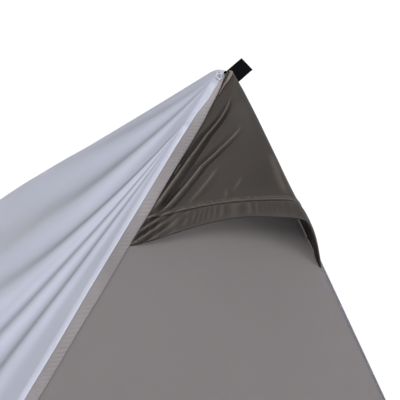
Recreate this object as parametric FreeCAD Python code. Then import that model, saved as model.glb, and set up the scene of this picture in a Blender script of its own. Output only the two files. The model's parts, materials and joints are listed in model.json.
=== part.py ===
"""Two-person ridge tent: pole frame, fabric body, silver fly, vent hoods and a zipped door.

Frame: millimetres, +Z up, +Y along the ridge, origin on the ground under the middle of the tent.
The vent end is at -Y and the door end at +Y.  Left is -X and right is +X.
The roof planes are the outer faces of the fly.  A depth is measured square to a roof plane, inwards.
"""
import FreeCAD, Part
import math
import os

# ---- driving dimensions -------------------------------------------------------------------
TENT_HEIGHT = 1240.0        # height at which the two roof planes meet
TENT_LENGTH = 2140.0        # between the outer faces of the two gables
ROOF_SPREAD = 0.585         # half width gained per unit of height lost
FLY_WALL = 1.5
FLY_HEM_HEIGHT = 60.0       # lower edge of the fly above the ground
RIDGE_ROUND = 8.5           # outer radius of the fly over the ridge
GABLE_WALL = 2.0
BODY_WALL = 1.2
BODY_GAP = 4.0              # between the legs and the fabric body
FLOOR_WALL = 2.0
RIM_HEIGHT = 95.0
RIM_WALL = 1.0
POLE_DIAMETER = 16.0
POLE_WALL = 1.0
POLE_GAP = 0.5              # between the fly and the sockets
CAP_GAP = 2.5               # between the gable and the foot caps
SWAGE_LENGTH = 60.0
SWAGE_TAPER = 6.0
LEG_SPLIT = 700.0           # distance of the leg joint from the apex joint
FIT_GAP = 0.1               # radial gap between telescoping or plugged tubes
CLEARANCE = 0.3             # gap between neighbouring pieces
SOCKET_WALL = 1.9
SOCKET_START = 20.0         # bottom of each socket's bore from the joint's centre
SOCKET_LENGTH = 60.0
CAP_WALL = 2.4
CAP_LENGTH = 40.0
CAP_FLOOR = 16.0            # height of the leg's end above the ground
BUTTON_RADIUS = 2.5
BUTTON_PROUD = 2.5
BUTTON_FLANGE_RADIUS = 3.0
BUTTON_FLANGE = 1.2
BUTTON_GAP = 0.05
BUTTON_OFFSET = 30.0        # button behind the end of the outer tube
STRIP_WIDTH = 22.0          # hem strip over the gable's margin, measured level
STRIP_WALL = 2.0
STUD_DIAMETER = 11.0
STUD_HEIGHT = 3.0
STUD_DROP = 32.0            # stud below the roof planes' meeting line
VENT_TOP = 80.0             # vent opening, all below the roof planes' meeting line
VENT_BASE = 205.0
VENT_HALF_WIDTH = 74.0
MESH_WALL = 1.0
HOOD_WALL = 2.0
HOOD_APEX = 16.0            # drop at which the hood's two seams would meet
HOOD_DROPS = (307.0, 296.0) # where the lower hem meets the gable, at the strip and at the free side
HOOD_TOP = 0.08             # share of the seams left open at the top
HOOD_RISE = 43.0            # how far the hem arches above its corners
HOOD_DEPTH = 87.0           # how far the hood stands off the gable
HOOD_CROWN = 0.63           # share of the width, from the strip, at which it stands farthest off
HOOD_FOLD = 0.15            # softness of the section's fold at the crown
HOOD_SWELL = 9.0            # how far the crown leans towards the free side, halfway down
HOOD_EDGE = 3.0             # gap from the roof edge to the hood's free-side seam
HOOD_STRIP_GAP = 1.2        # gap from the hem strip to the hood's other seam
HOOD_SECTIONS = 8
SECTION_POINTS = 17
BONING_WIDTH = 15.0
BONING_WALL = 1.5
BONING_INSET = 2.0          # boning above the hood's lower edge
DOOR_DROP = 310.0           # top of the doorway below the peak
DOOR_SILL = 104.0
ZIP_HALF = 2.85
ZIP_GAP = 6.0
ZIP_PROUD = 0.2
SEAM_GAP = 1.5              # sewn gap along the door's hinge edge
SLIDER = (10.0, 12.0, 2.4)  # slider body: width, height, thickness
BRIDGE = (3.0, 8.0, 3.4)    # slider bridge: width, height, thickness
PULL = (8.0, 20.0, 2.4)     # pull tab: width, length, thickness
PIN_RADIUS = 0.7
SIDE_PARK_HEIGHT = 62.0
BASE_PARK_SHIFT = 32.0
WEBBING = 25.0
WEBBING_WALL = 2.5
LOOP_LENGTH = 41.8
LOOP_START = (8.4, 13.1)    # apex loop's upper edge: across and below the peak, where it leaves the roof
LOOP_INSET = 10.0           # apex loop behind the gable's outer face
PATCH_LENGTH = 62.0
PATCH_WIDTH = 38.0
PATCH_WALL = 1.6
TONGUE_LENGTH = 32.0
EYELET_BORE = 10.0
EYELET_OUTER = 18.0
EYELET_BARREL = 1.7
EYELET_FLANGE = 1.0
STRAP_WIDTH = 20.0
STRAP_WALL = 1.5
STRAP_INSET = 50.0          # fly straps from the gable's outer face
BUCKLE = (26.0, 22.0, 3.0)  # ladder buckle: width, height, thickness
BUCKLE_BAR = 3.5
BUCKLE_GAP = 1.5            # between the buckle and the strap ends
CLIP_WALL = 2.0
CLIP_WIDTH = 14.0
CLIP_COUNT = 5
CLIP_PITCH = 380.0
HOOK_WIRE = 3.0
HOOK_RADIUS = 10.0
HOOK_DROP = 30.0
LUG = (2.0, 12.0, 20.0)     # lantern lug's ears: thickness, width, height
LUG_DROP = 13.0             # top of the ears below the body's peak
LUG_SLOT = 5.0
LUG_PIN_RADIUS = 1.6
# --------------------------------------------------------------------------------------------

V = FreeCAD.Vector
SLANT = math.hypot(1.0, ROOF_SPREAD)          # slope length per unit of height
SIN_HALF = ROOF_SPREAD / SLANT                # sine of half the angle at the ridge
HALF_LENGTH = TENT_LENGTH / 2
POLE_RADIUS = POLE_DIAMETER / 2
SWAGE_RADIUS = POLE_RADIUS - POLE_WALL - FIT_GAP
SOCKET_RADIUS = POLE_RADIUS + FIT_GAP + SOCKET_WALL
POLE_DEPTH = FLY_WALL + POLE_GAP + SOCKET_RADIUS        # depth of the leg axes
POLE_INSET = GABLE_WALL + CAP_GAP + POLE_RADIUS + FIT_GAP + CAP_WALL
BODY_DEPTH = POLE_DEPTH + POLE_RADIUS + BODY_GAP        # depth of the fabric body
DOOR_PEAK = TENT_HEIGHT - DOOR_DROP
JOINT_HEIGHT = TENT_HEIGHT - POLE_DEPTH * SLANT / ROOF_SPREAD
JOINT = V(0, -(HALF_LENGTH - POLE_INSET), JOINT_HEIGHT)
LEG_END = (JOINT_HEIGHT - CAP_FLOOR) * SLANT
GABLE_DEPTH = FLY_WALL + CLEARANCE
SIDES = {"left": -1, "right": 1}


def roof_x(height, depth=0.0):
    """Half width at a height, at a depth inside the roof plane."""
    return ROOF_SPREAD * (TENT_HEIGHT - height) - depth * SLANT


def peak_z(depth):
    """Height where the two planes at a depth meet."""
    return TENT_HEIGHT - depth * SLANT / ROOF_SPREAD


def save(name, shape):
    shape.exportStep("parts/" + name + ".step")


def mirror_x(shape):
    return shape.mirror(V(0, 0, 0), V(1, 0, 0))


def mirror_y(shape):
    return shape.mirror(V(0, 0, 0), V(0, 1, 0))


def turned(shape):
    """The same piece at the door end: half a turn about the vertical."""
    copy = shape.copy()
    copy.rotate(V(0, 0, 0), V(0, 0, 1), 180)
    return copy


def group(shapes):
    return Part.makeCompound(shapes)


def box(x, y, z):
    """Box from three (low, high) pairs."""
    return Part.makeBox(x[1] - x[0], y[1] - y[0], z[1] - z[0], V(x[0], y[0], z[0]))


def prism_y(points, y0, y1):
    """Outline of (x, z) points carried from y0 to y1."""
    corners = [V(x, y0, z) for x, z in points]
    face = Part.Face(Part.makePolygon(corners + corners[:1]))
    return face.extrude(V(0, y1 - y0, 0))


def roof_slab(side, depths, heights, y0, y1):
    """Slab parallel to a roof plane, cut level at its top and bottom."""
    (near, far), (low, high) = depths, heights
    points = [(roof_x(low, near), low), (roof_x(low, far), low),
              (roof_x(high, far), high), (roof_x(high, near), high)]
    return prism_y([(side * x, z) for x, z in points], y0, y1)


def tent_prism(depth, floor, y0, y1):
    """Whole gable outline at a depth, with its rounded peak, carried from y0 to y1."""
    radius = RIDGE_ROUND - depth
    centre = TENT_HEIGHT - RIDGE_ROUND / SIN_HALF
    tangent_x, tangent_z = radius / SLANT, centre + radius * SIN_HALF
    foot = roof_x(floor, depth)
    left, right = V(-foot, y0, floor), V(foot, y0, floor)
    shoulder_l, shoulder_r = V(-tangent_x, y0, tangent_z), V(tangent_x, y0, tangent_z)
    arc = Part.Arc(shoulder_r, V(0, y0, centre + radius), shoulder_l).toShape()
    edges = [Part.makeLine(left, right), Part.makeLine(right, shoulder_r), arc,
             Part.makeLine(shoulder_l, left)]
    return Part.Face(Part.Wire(edges)).extrude(V(0, y1 - y0, 0))


def placed(shape, origin, direction):
    """Shape made along +Z from the origin, moved to a point and turned along a direction."""
    shape.Placement = FreeCAD.Placement(origin, FreeCAD.Rotation(V(0, 0, 1), direction))
    return shape


def turned_profile(points):
    """Closed profile of (radius, distance) points turned about Z."""
    corners = [V(r, 0, t) for r, t in points]
    face = Part.Face(Part.makePolygon(corners + corners[:1]))
    return face.revolve(V(0, 0, 0), V(0, 0, 1), 360)


# ---- poles --------------------------------------------------------------------------------
def pole_pair(origin, direction, split, end):
    """Two tubes joined by a swaged end and held by a snap button, along one axis."""
    start = SOCKET_START + CLEARANCE
    inner = SWAGE_RADIUS - POLE_WALL
    bore = POLE_RADIUS - POLE_WALL
    upper = turned_profile([(POLE_RADIUS, start), (POLE_RADIUS, split), (SWAGE_RADIUS, split),
                            (SWAGE_RADIUS, split + SWAGE_LENGTH), (inner, split + SWAGE_LENGTH),
                            (inner, split), (bore, split - SWAGE_TAPER), (bore, start)])
    outer_start = split + CLEARANCE
    lower = turned_profile([(POLE_RADIUS, outer_start), (POLE_RADIUS, end),
                            (bore, end), (bore, outer_start)])
    place = split + BUTTON_OFFSET
    hole = Part.makeCylinder(BUTTON_RADIUS + BUTTON_GAP, 2 * POLE_RADIUS, V(0, 0, place), V(0, 1, 0))
    foot = inner - BUTTON_FLANGE - POLE_WALL
    button = Part.makeCylinder(BUTTON_RADIUS, POLE_RADIUS + BUTTON_PROUD - foot,
                               V(0, foot, place), V(0, 1, 0))
    flange = Part.makeCylinder(BUTTON_FLANGE_RADIUS, BUTTON_FLANGE, V(0, foot, place), V(0, 1, 0))
    tip = [edge for edge in button.Edges if edge.BoundBox.YMin > POLE_RADIUS]
    button = button.makeFillet(BUTTON_RADIUS / 2, tip).fuse(flange).removeSplitter()
    pieces = (upper.cut(hole), lower.cut(hole), button)
    return [placed(piece, origin, direction) for piece in pieces]


def leg_direction(side):
    return V(side * SIN_HALF, 0, -1 / SLANT)


def make_poles():
    for side_name, side in SIDES.items():
        upper, lower, button = pole_pair(JOINT, leg_direction(side), LEG_SPLIT, LEG_END)
        for piece_name, piece in (("leg_upper", upper), ("leg_lower", lower), ("leg_button", button)):
            save("vent_end_" + piece_name + "_" + side_name, piece)
            save("door_end_" + piece_name + "_" + side_name, mirror_y(piece))
    ridge_length = 2 * abs(JOINT.y)
    end = ridge_length - SOCKET_START - CLEARANCE
    ridge = pole_pair(JOINT, V(0, 1, 0), ridge_length / 2, end)
    for name, piece in zip(("ridge_pole_vent_half", "ridge_pole_door_half", "ridge_button"), ridge):
        save(name, piece)


def make_connectors():
    """Three-way sockets that join two legs and the ridge pole."""
    body = Part.makeSphere(SOCKET_RADIUS, JOINT)
    bores = []
    for direction in (leg_direction(-1), leg_direction(1), V(0, 1, 0)):
        body = body.fuse(Part.makeCylinder(SOCKET_RADIUS, SOCKET_LENGTH, JOINT, direction))
        bores.append(Part.makeCylinder(POLE_RADIUS + FIT_GAP, SOCKET_LENGTH,
                                       JOINT + direction * SOCKET_START, direction))
    for bore in bores:
        body = body.cut(bore)
    save("vent_end_connector", body)
    save("door_end_connector", mirror_y(body))


def make_foot_caps():
    """Rubber caps on the leg ends, cut level where they stand on the corner patches."""
    direction = leg_direction(1)
    radius = POLE_RADIUS + FIT_GAP + CAP_WALL
    base = JOINT + direction * (LEG_END - CAP_LENGTH)
    cap = Part.makeCylinder(radius, 2 * CAP_LENGTH, base, direction)
    cap = cap.cut(Part.makeCylinder(POLE_RADIUS + FIT_GAP, CAP_LENGTH, base, direction))
    span = TENT_HEIGHT
    ground = box((-span, span), (-TENT_LENGTH, 0), (-span, PATCH_WALL))
    cap = cap.cut(ground)
    pair = [cap, mirror_x(cap)]
    save("foot_caps", group(pair + [mirror_y(piece) for piece in pair]))


# ---- fabric -------------------------------------------------------------------------------
def make_fly():
    """One silver sheet over the ridge, sewn from two panels along the ridge line."""
    sheet = tent_prism(0, FLY_HEM_HEIGHT, -HALF_LENGTH, HALF_LENGTH)
    inside = tent_prism(FLY_WALL, FLY_HEM_HEIGHT - 1, -TENT_LENGTH, TENT_LENGTH)
    sheet = sheet.cut(inside)
    half = box((0, TENT_HEIGHT), (-TENT_LENGTH, TENT_LENGTH), (0, 2 * TENT_HEIGHT))
    right = sheet.common(half)
    save("fly_right", right)
    save("fly_left", mirror_x(right))


def strip_outline():
    top = STUD_DROP - STUD_DIAMETER
    points = []
    for drop, inset in ((TENT_HEIGHT - FLY_HEM_HEIGHT, 0), (TENT_HEIGHT - FLY_HEM_HEIGHT, STRIP_WIDTH),
                        (STRIP_WIDTH / ROOF_SPREAD, STRIP_WIDTH), (top, top * ROOF_SPREAD), (top, 0)):
        points.append((-(ROOF_SPREAD * drop - inset), TENT_HEIGHT - drop))
    return points


def make_hem_strips():
    """Stitched hem of the fly, folded over one margin of each gable."""
    face = -HALF_LENGTH
    strip = prism_y(strip_outline(), face - STRIP_WALL, face)
    save("vent_end_hem_strip", strip)
    save("door_end_hem_strip", turned(strip))
    stud_x = -(ROOF_SPREAD * STUD_DROP - STUD_DIAMETER / 2 - 1)
    stud = Part.makeCylinder(STUD_DIAMETER / 2, STUD_HEIGHT,
                             V(stud_x, face - STRIP_WALL, TENT_HEIGHT - STUD_DROP), V(0, -1, 0))
    rim = [edge for edge in stud.Edges if edge.BoundBox.YMax < face - STRIP_WALL - STUD_HEIGHT / 2]
    stud = stud.makeFillet(STUD_HEIGHT / 3, rim)
    save("fly_studs", group([stud, turned(stud)]))


def vent_outline(shrink=0.0):
    """Triangle of the vent opening, drawn in evenly by a gap."""
    slope = VENT_HALF_WIDTH / (VENT_BASE - VENT_TOP)
    drop = VENT_TOP + shrink * math.hypot(1, slope) / slope
    base = VENT_BASE - shrink
    half = slope * (base - drop)
    return [(0, TENT_HEIGHT - drop), (half, TENT_HEIGHT - base), (-half, TENT_HEIGHT - base)]


def make_vent_gable():
    face = -HALF_LENGTH
    inner = face + GABLE_WALL
    panel = tent_prism(GABLE_DEPTH, FLOOR_WALL, face, inner)
    save("vent_gable", panel.cut(prism_y(vent_outline(), face - 1, inner + 1)))
    spare = (GABLE_WALL - MESH_WALL) / 2
    mesh = prism_y(vent_outline(CLEARANCE), face + spare, inner - spare)
    save("vent_end_mesh", mesh)
    save("door_end_mesh", mirror_y(mesh))


def door_edge(height, inset=0.0):
    """Half width of the doorway at a height, drawn in square to its edge."""
    return ROOF_SPREAD * (DOOR_PEAK - height) - inset * SLANT


def make_door_gable():
    """Door gable: a top panel, two side strips and a sill around a three-sided doorway."""
    face, inner = HALF_LENGTH, HALF_LENGTH - GABLE_WALL
    panel = tent_prism(GABLE_DEPTH, FLOOR_WALL, inner, face)
    wide = 2 * TENT_HEIGHT
    doorway = [(0, DOOR_PEAK), (door_edge(DOOR_SILL), DOOR_SILL), (-door_edge(DOOR_SILL), DOOR_SILL)]
    panel = panel.cut(prism_y(vent_outline(), inner - 1, face + 1))
    panel = panel.cut(prism_y(doorway, inner - 1, face + 1))
    bands = {"door_gable_top": ((-wide, wide), (DOOR_PEAK, wide)),
             "door_gable_left": ((-wide, 0), (DOOR_SILL, DOOR_PEAK)),
             "door_gable_right": ((0, wide), (DOOR_SILL, DOOR_PEAK)),
             "door_sill": ((-wide, wide), (0, DOOR_SILL))}
    for name, (across, heights) in bands.items():
        save(name, panel.common(box(across, (inner - 1, face + 1), heights)))


def make_door():
    """Door panel hung on the doorway's left edge, with its halves of the two zips."""
    face, inner = HALF_LENGTH, HALF_LENGTH - GABLE_WALL
    low = DOOR_SILL + ZIP_GAP
    # the left edge stands SEAM_GAP off the doorway and the right edge ZIP_GAP off it
    left_foot, right_foot = -door_edge(low, SEAM_GAP), door_edge(low, ZIP_GAP)
    top = DOOR_PEAK - (SEAM_GAP + ZIP_GAP) * SLANT / ROOF_SPREAD / 2
    top_x = (SEAM_GAP - ZIP_GAP) * SLANT / 2
    save("door_panel", prism_y([(left_foot, low), (right_foot, low), (top_x, top)], inner, face))
    y0, y1 = inner - ZIP_PROUD, face + ZIP_PROUD
    split_low, split_high = ZIP_GAP - ZIP_HALF, ZIP_HALF

    def side_band(near, far, foot, peak):
        return prism_y([(door_edge(foot, near), foot), (door_edge(peak, near), peak),
                        (door_edge(peak, far), peak), (door_edge(foot, far), foot)], y0, y1)

    peak = top - ZIP_GAP
    save("side_zip_fixed", side_band(0, split_high, low, peak))
    save("side_zip_moving", side_band(split_low, ZIP_GAP, low, peak))

    def base_band(near, far):
        half = door_edge(DOOR_SILL + far, ZIP_GAP)
        return box((-half, half), (y0, y1), (DOOR_SILL + near, DOOR_SILL + far))

    save("base_zip_fixed", base_band(0, split_high))
    save("base_zip_moving", base_band(split_low, ZIP_GAP))


def make_slider(prefix, x, z):
    """Zip slider with a bridge and pin, and a forked pull tab that hangs from the pin."""
    base = HALF_LENGTH + ZIP_PROUD + CLEARANCE
    width, height, depth = SLIDER
    bridge_width, bridge_height, bridge_depth = BRIDGE
    pull_width, pull_length, pull_depth = PULL
    front = base + depth
    pin_y = front + bridge_depth / 2
    slider = box((x - width / 2, x + width / 2), (base, front), (z - height / 2, z + height / 2))
    bridge = box((x - bridge_width / 2, x + bridge_width / 2), (front, front + bridge_depth),
                 (z - bridge_height / 2, z + bridge_height / 2))
    pin_half = (bridge_width + pull_width) / 4
    pin = Part.makeCylinder(PIN_RADIUS, 2 * pin_half, V(x - pin_half, pin_y, z), V(1, 0, 0))
    save(prefix + "_slider", slider.fuse(bridge).fuse(pin))
    fork_top = z + PIN_RADIUS + CLEARANCE
    pull = box((x - pull_width / 2, x + pull_width / 2),
               (pin_y - pull_depth / 2, pin_y + pull_depth / 2), (z - pull_length, fork_top))
    slot_half = bridge_width / 2 + CLEARANCE
    slot_foot = z - math.hypot(bridge_height, bridge_depth) / 2 - CLEARANCE
    slot = box((x - slot_half, x + slot_half), (base, front + 2 * bridge_depth), (slot_foot, fork_top))
    bore = Part.makeCylinder(PIN_RADIUS + BUTTON_GAP, 2 * pin_half, V(x - pin_half, pin_y, z), V(1, 0, 0))
    save(prefix + "_pull", pull.cut(slot).cut(bore))


def make_sliders():
    make_slider("side_zip", door_edge(SIDE_PARK_HEIGHT, ZIP_GAP / 2), SIDE_PARK_HEIGHT)
    make_slider("base_zip", door_edge(DOOR_SILL) + BASE_PARK_SHIFT, DOOR_SILL + ZIP_GAP / 2)


def hood_point(share, across, step):
    """Point of the hood at a share of its seams' length and of its width, a step inside its face.

    The section rises from the strip-side seam to a soft fold at the crown, then drops to the free side.
    """
    drops = [HOOD_APEX + (drop - HOOD_APEX) * share for drop in HOOD_DROPS]
    left = -(ROOF_SPREAD * drops[0] - STRIP_WIDTH - HOOD_STRIP_GAP) + step / 2
    right = ROOF_SPREAD * drops[1] - HOOD_EDGE - step / 2
    from_crown = (across - HOOD_CROWN) / (HOOD_CROWN if across < HOOD_CROWN else 1 - HOOD_CROWN)
    fold = ((math.hypot(from_crown, HOOD_FOLD) - HOOD_FOLD) / (math.hypot(1, HOOD_FOLD) - HOOD_FOLD))
    depth = HOOD_DEPTH * math.sqrt((share - HOOD_TOP / 2) / (1 - HOOD_TOP / 2))
    out = (depth - 0.9 * step) * (1 - fold)
    x = left + (right - left) * across + HOOD_SWELL * (1 - fold) * math.sin(math.pi * share)
    drop = drops[0] + (drops[1] - drops[0]) * across - HOOD_RISE * share ** 2 * math.sin(math.pi * across)
    return V(x, -HALF_LENGTH - out, TENT_HEIGHT - drop)


def hood_shell(shares, steps):
    """Solid between two steps inside the hood's face, ruled from section to section."""
    wires, caps = [], []
    for share in shares:
        curves = []
        for step in steps:
            points = [hood_point(share, index / (SECTION_POINTS - 1), step) for index in range(SECTION_POINTS)]
            curve = Part.BSplineCurve()
            curve.interpolate(points)
            curves.append((curve.toShape(), points[0], points[-1]))
        (outside, out_left, out_right), (inside, in_left, in_right) = curves
        edges = [outside, Part.makeLine(out_left, in_left), inside, Part.makeLine(in_right, out_right)]
        wires.append(Part.Wire(Part.__sortEdges__(edges)))
        caps.append(Part.makeRuledSurface(outside, inside))
    skin = Part.makeLoft(wires, False, True)
    shell = Part.makeShell(skin.Faces + [caps[0], caps[-1]])
    shell.sewShape()
    solid = Part.makeSolid(shell.Shells[0])
    if solid.Volume < 0:
        solid.reverse()
    return solid


def make_hoods():
    """Vent hoods with a springy strip held inside the arched lower hem."""
    spread = (1 - HOOD_TOP) / (HOOD_SECTIONS - 1)
    shares = [HOOD_TOP + spread * index for index in range(HOOD_SECTIONS)]
    hood = hood_shell(shares, (0, HOOD_WALL))
    save("vent_end_hood", hood)
    save("door_end_hood", turned(hood))
    start = HOOD_WALL + CLEARANCE
    foot = 1 - BONING_INSET / HOOD_DROPS[0]
    boning = hood_shell((foot - BONING_WIDTH / HOOD_DROPS[0], foot), (start, start + BONING_WALL))
    save("vent_end_hood_boning", boning)
    save("door_end_hood_boning", turned(boning))


def make_body():
    """Fabric body under the fly: two sloping walls, the floor and its raised rim."""
    end = HALF_LENGTH - GABLE_WALL - CLEARANCE
    outer, inner = BODY_DEPTH, BODY_DEPTH + BODY_WALL
    wall = prism_y([(roof_x(FLOOR_WALL, inner), FLOOR_WALL), (roof_x(FLOOR_WALL, outer), FLOOR_WALL),
                    (0, peak_z(outer)), (0, peak_z(inner))], -end, end)
    save("body_wall_right", wall)
    save("body_wall_left", mirror_x(wall))
    floor_half = roof_x(FLOOR_WALL, outer)
    save("floor_sheet", box((-floor_half, floor_half), (-HALF_LENGTH, HALF_LENGTH), (0, FLOOR_WALL)))
    near = inner + CLEARANCE
    rim_end = end - RIM_WALL - CLEARANCE
    strips = [roof_slab(side, (near, near + RIM_WALL), (FLOOR_WALL, RIM_HEIGHT), -rim_end, rim_end)
              for side in SIDES.values()]
    low, high = roof_x(FLOOR_WALL, near), roof_x(RIM_HEIGHT, near)
    corners = [(-low, FLOOR_WALL), (low, FLOOR_WALL), (high, RIM_HEIGHT), (-high, RIM_HEIGHT)]
    strip = prism_y(corners, end - RIM_WALL, end)
    save("floor_rim", group(strips + [strip, mirror_y(strip)]))


# ---- fittings -----------------------------------------------------------------------------
def make_apex_loops():
    """Webbing tabs that stand out of the roof beside each end of the ridge."""
    run = math.sqrt(0.5)
    near = V(LOOP_START[0] + LOOP_LENGTH * run, 0, TENT_HEIGHT - LOOP_START[1] + LOOP_LENGTH * run)
    far = near + V(WEBBING * run, 0, -WEBBING * run)
    points = [(near.x, near.z), (far.x, far.z)]
    # both long edges run back at 45 degrees to the roof plane
    for tip in (far, near):
        back = (tip.x - roof_x(tip.z)) / (1 + ROOF_SPREAD)
        points.append((tip.x - back, tip.z - back))
    face = -HALF_LENGTH + LOOP_INSET
    loop = prism_y(points, face, face + WEBBING_WALL)
    save("apex_loops", group([loop, turned(loop)]))


def four_corners(shape):
    pair = [shape, mirror_x(shape)]
    return group(pair + [mirror_y(piece) for piece in pair])


def make_corners():
    """Reinforcing patches under the feet, with webbing tongues that take the ground pegs."""
    inner_x = roof_x(FLOOR_WALL, BODY_DEPTH) + CLEARANCE
    outer_x = inner_x + PATCH_WIDTH
    end = -(HALF_LENGTH - GABLE_WALL - CLEARANCE)
    save("corner_patches", four_corners(box((inner_x, outer_x), (end, end + PATCH_LENGTH), (0, PATCH_WALL))))
    tongue_y = -(HALF_LENGTH - POLE_INSET)
    tip = outer_x + TONGUE_LENGTH
    tongue = box((outer_x, tip), (tongue_y - WEBBING / 2, tongue_y + WEBBING / 2), (0, PATCH_WALL))
    peg = V(tip - WEBBING / 2, tongue_y, 0)
    barrel = EYELET_BORE / 2 + EYELET_BARREL
    hole = Part.makeCylinder(barrel, PATCH_WALL, peg)
    save("peg_tongues", four_corners(tongue.cut(hole)))
    ring = Part.makeCylinder(barrel, PATCH_WALL, peg)
    flange = Part.makeCylinder(EYELET_OUTER / 2, EYELET_FLANGE, peg + V(0, 0, PATCH_WALL))
    ring = ring.fuse(flange).cut(Part.makeCylinder(EYELET_BORE / 2, 2 * WEBBING, peg - V(0, 0, WEBBING)))
    save("peg_eyelets", four_corners(ring.removeSplitter()))


def make_fly_straps():
    """Fly tensioning: a strap from the hem, a ladder buckle, and a tail to the corner patch."""
    centre = -(HALF_LENGTH - STRAP_INSET)
    y0, y1 = centre - STRAP_WIDTH / 2, centre + STRAP_WIDTH / 2
    depths = (FLY_WALL + CLEARANCE, FLY_WALL + CLEARANCE + STRAP_WALL)
    width, height, thickness = BUCKLE
    middle = sum(depths) / 2
    top = FLY_HEM_HEIGHT - 2 * BUCKLE_BAR
    bottom = top - height / SLANT
    strap = roof_slab(1, depths, (top + BUCKLE_GAP, FLY_HEM_HEIGHT + STRAP_WIDTH), y0, y1)
    tail = roof_slab(1, depths, (PATCH_WALL, bottom - BUCKLE_GAP), y0, y1)
    save("fly_straps", four_corners(strap))
    save("strap_tails", four_corners(tail))
    frame = Part.makeBox(width, height, thickness, V(-width / 2, -height, -thickness / 2))
    slot_height = (height - 3 * BUCKLE_BAR) / 2
    for row in range(2):
        slot_y = -(row + 1) * (BUCKLE_BAR + slot_height)
        frame = frame.cut(Part.makeBox(width - 2 * BUCKLE_BAR, slot_height, 2 * thickness,
                                       V(-width / 2 + BUCKLE_BAR, slot_y, -thickness)))
    matrix = FreeCAD.Matrix(0, -SIN_HALF, 1 / SLANT, roof_x(top, middle),
                            1, 0, 0, centre,
                            0, 1 / SLANT, SIN_HALF, top,
                            0, 0, 0, 1)
    frame = frame.transformGeometry(matrix)
    for side_name, shape in (("right", frame), ("left", mirror_x(frame))):
        save("vent_end_buckle_" + side_name, shape)
        save("door_end_buckle_" + side_name, mirror_y(shape))


def make_ridge_clips():
    """Plastic rings on the ridge pole that carry the peak of the fabric body."""
    outer = POLE_RADIUS + FIT_GAP + CLIP_WALL
    clips = []
    for index in range(CLIP_COUNT):
        y = (index - (CLIP_COUNT - 1) / 2) * CLIP_PITCH - CLIP_WIDTH
        centre = V(0, y, JOINT_HEIGHT)
        ring = Part.makeCylinder(outer, CLIP_WIDTH, centre, V(0, 1, 0))
        stem = box((-CLIP_WALL, CLIP_WALL), (y, y + CLIP_WIDTH),
                   (peak_z(BODY_DEPTH), JOINT_HEIGHT - POLE_RADIUS))
        bore = Part.makeCylinder(POLE_RADIUS + FIT_GAP, CLIP_WIDTH, centre, V(0, 1, 0))
        clips.append(ring.fuse(stem).cut(bore).removeSplitter())
    save("ridge_clips", group(clips))


def make_lantern_hook():
    """Lug sewn under the body's peak, with a wire hook that swings on its pin along the ridge."""
    thickness, width, height = LUG
    inner = BODY_DEPTH + BODY_WALL
    top = peak_z(inner) - LUG_DROP
    half = LUG_SLOT / 2
    wide = roof_x(top, inner) - CLEARANCE
    peak = peak_z(inner) - CLEARANCE * SLANT
    lug = prism_y([(0, peak), (wide, top), (-wide, top)], -width / 2, width / 2)
    for low in (-half - thickness, half):
        lug = lug.fuse(box((low, low + thickness), (-width / 2, width / 2), (top - height, top)))
    pin_z = top - height + width / 2
    lug = lug.fuse(Part.makeCylinder(LUG_PIN_RADIUS, LUG_SLOT, V(-half, 0, pin_z), V(1, 0, 0)))
    save("lantern_lug", lug.removeSplitter())
    wire = HOOK_WIRE / 2
    foot = pin_z - HOOK_DROP
    eye = Part.makeCylinder(LUG_PIN_RADIUS + HOOK_WIRE, HOOK_WIRE, V(-wire, 0, pin_z), V(1, 0, 0))
    shank = Part.makeCylinder(wire, HOOK_DROP - LUG_PIN_RADIUS - wire, V(0, 0, foot))
    path = Part.Arc(V(0, 0, foot), V(0, -HOOK_RADIUS, foot - HOOK_RADIUS), V(0, -2 * HOOK_RADIUS, foot))
    start = Part.Face(Part.Wire(Part.makeCircle(wire, V(0, 0, foot), V(0, 0, -1))))
    bend = Part.Wire(path.toShape()).makePipe(start)
    tip = Part.makeSphere(wire, V(0, -2 * HOOK_RADIUS, foot))
    hole = Part.makeCylinder(LUG_PIN_RADIUS + BUTTON_GAP, LUG_SLOT, V(-half, 0, pin_z), V(1, 0, 0))
    save("lantern_hook", eye.fuse(shank).fuse(bend).fuse(tip).cut(hole))


def main():
    os.makedirs("parts", exist_ok=True)
    make_poles()
    make_connectors()
    make_foot_caps()
    make_fly()
    make_hem_strips()
    make_vent_gable()
    make_door_gable()
    make_door()
    make_sliders()
    make_hoods()
    make_body()
    make_apex_loops()
    make_corners()
    make_fly_straps()
    make_ridge_clips()
    make_lantern_hook()


main()
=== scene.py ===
"""Ridge tent: the fabric, webbing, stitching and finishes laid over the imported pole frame."""
import json
import math

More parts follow.
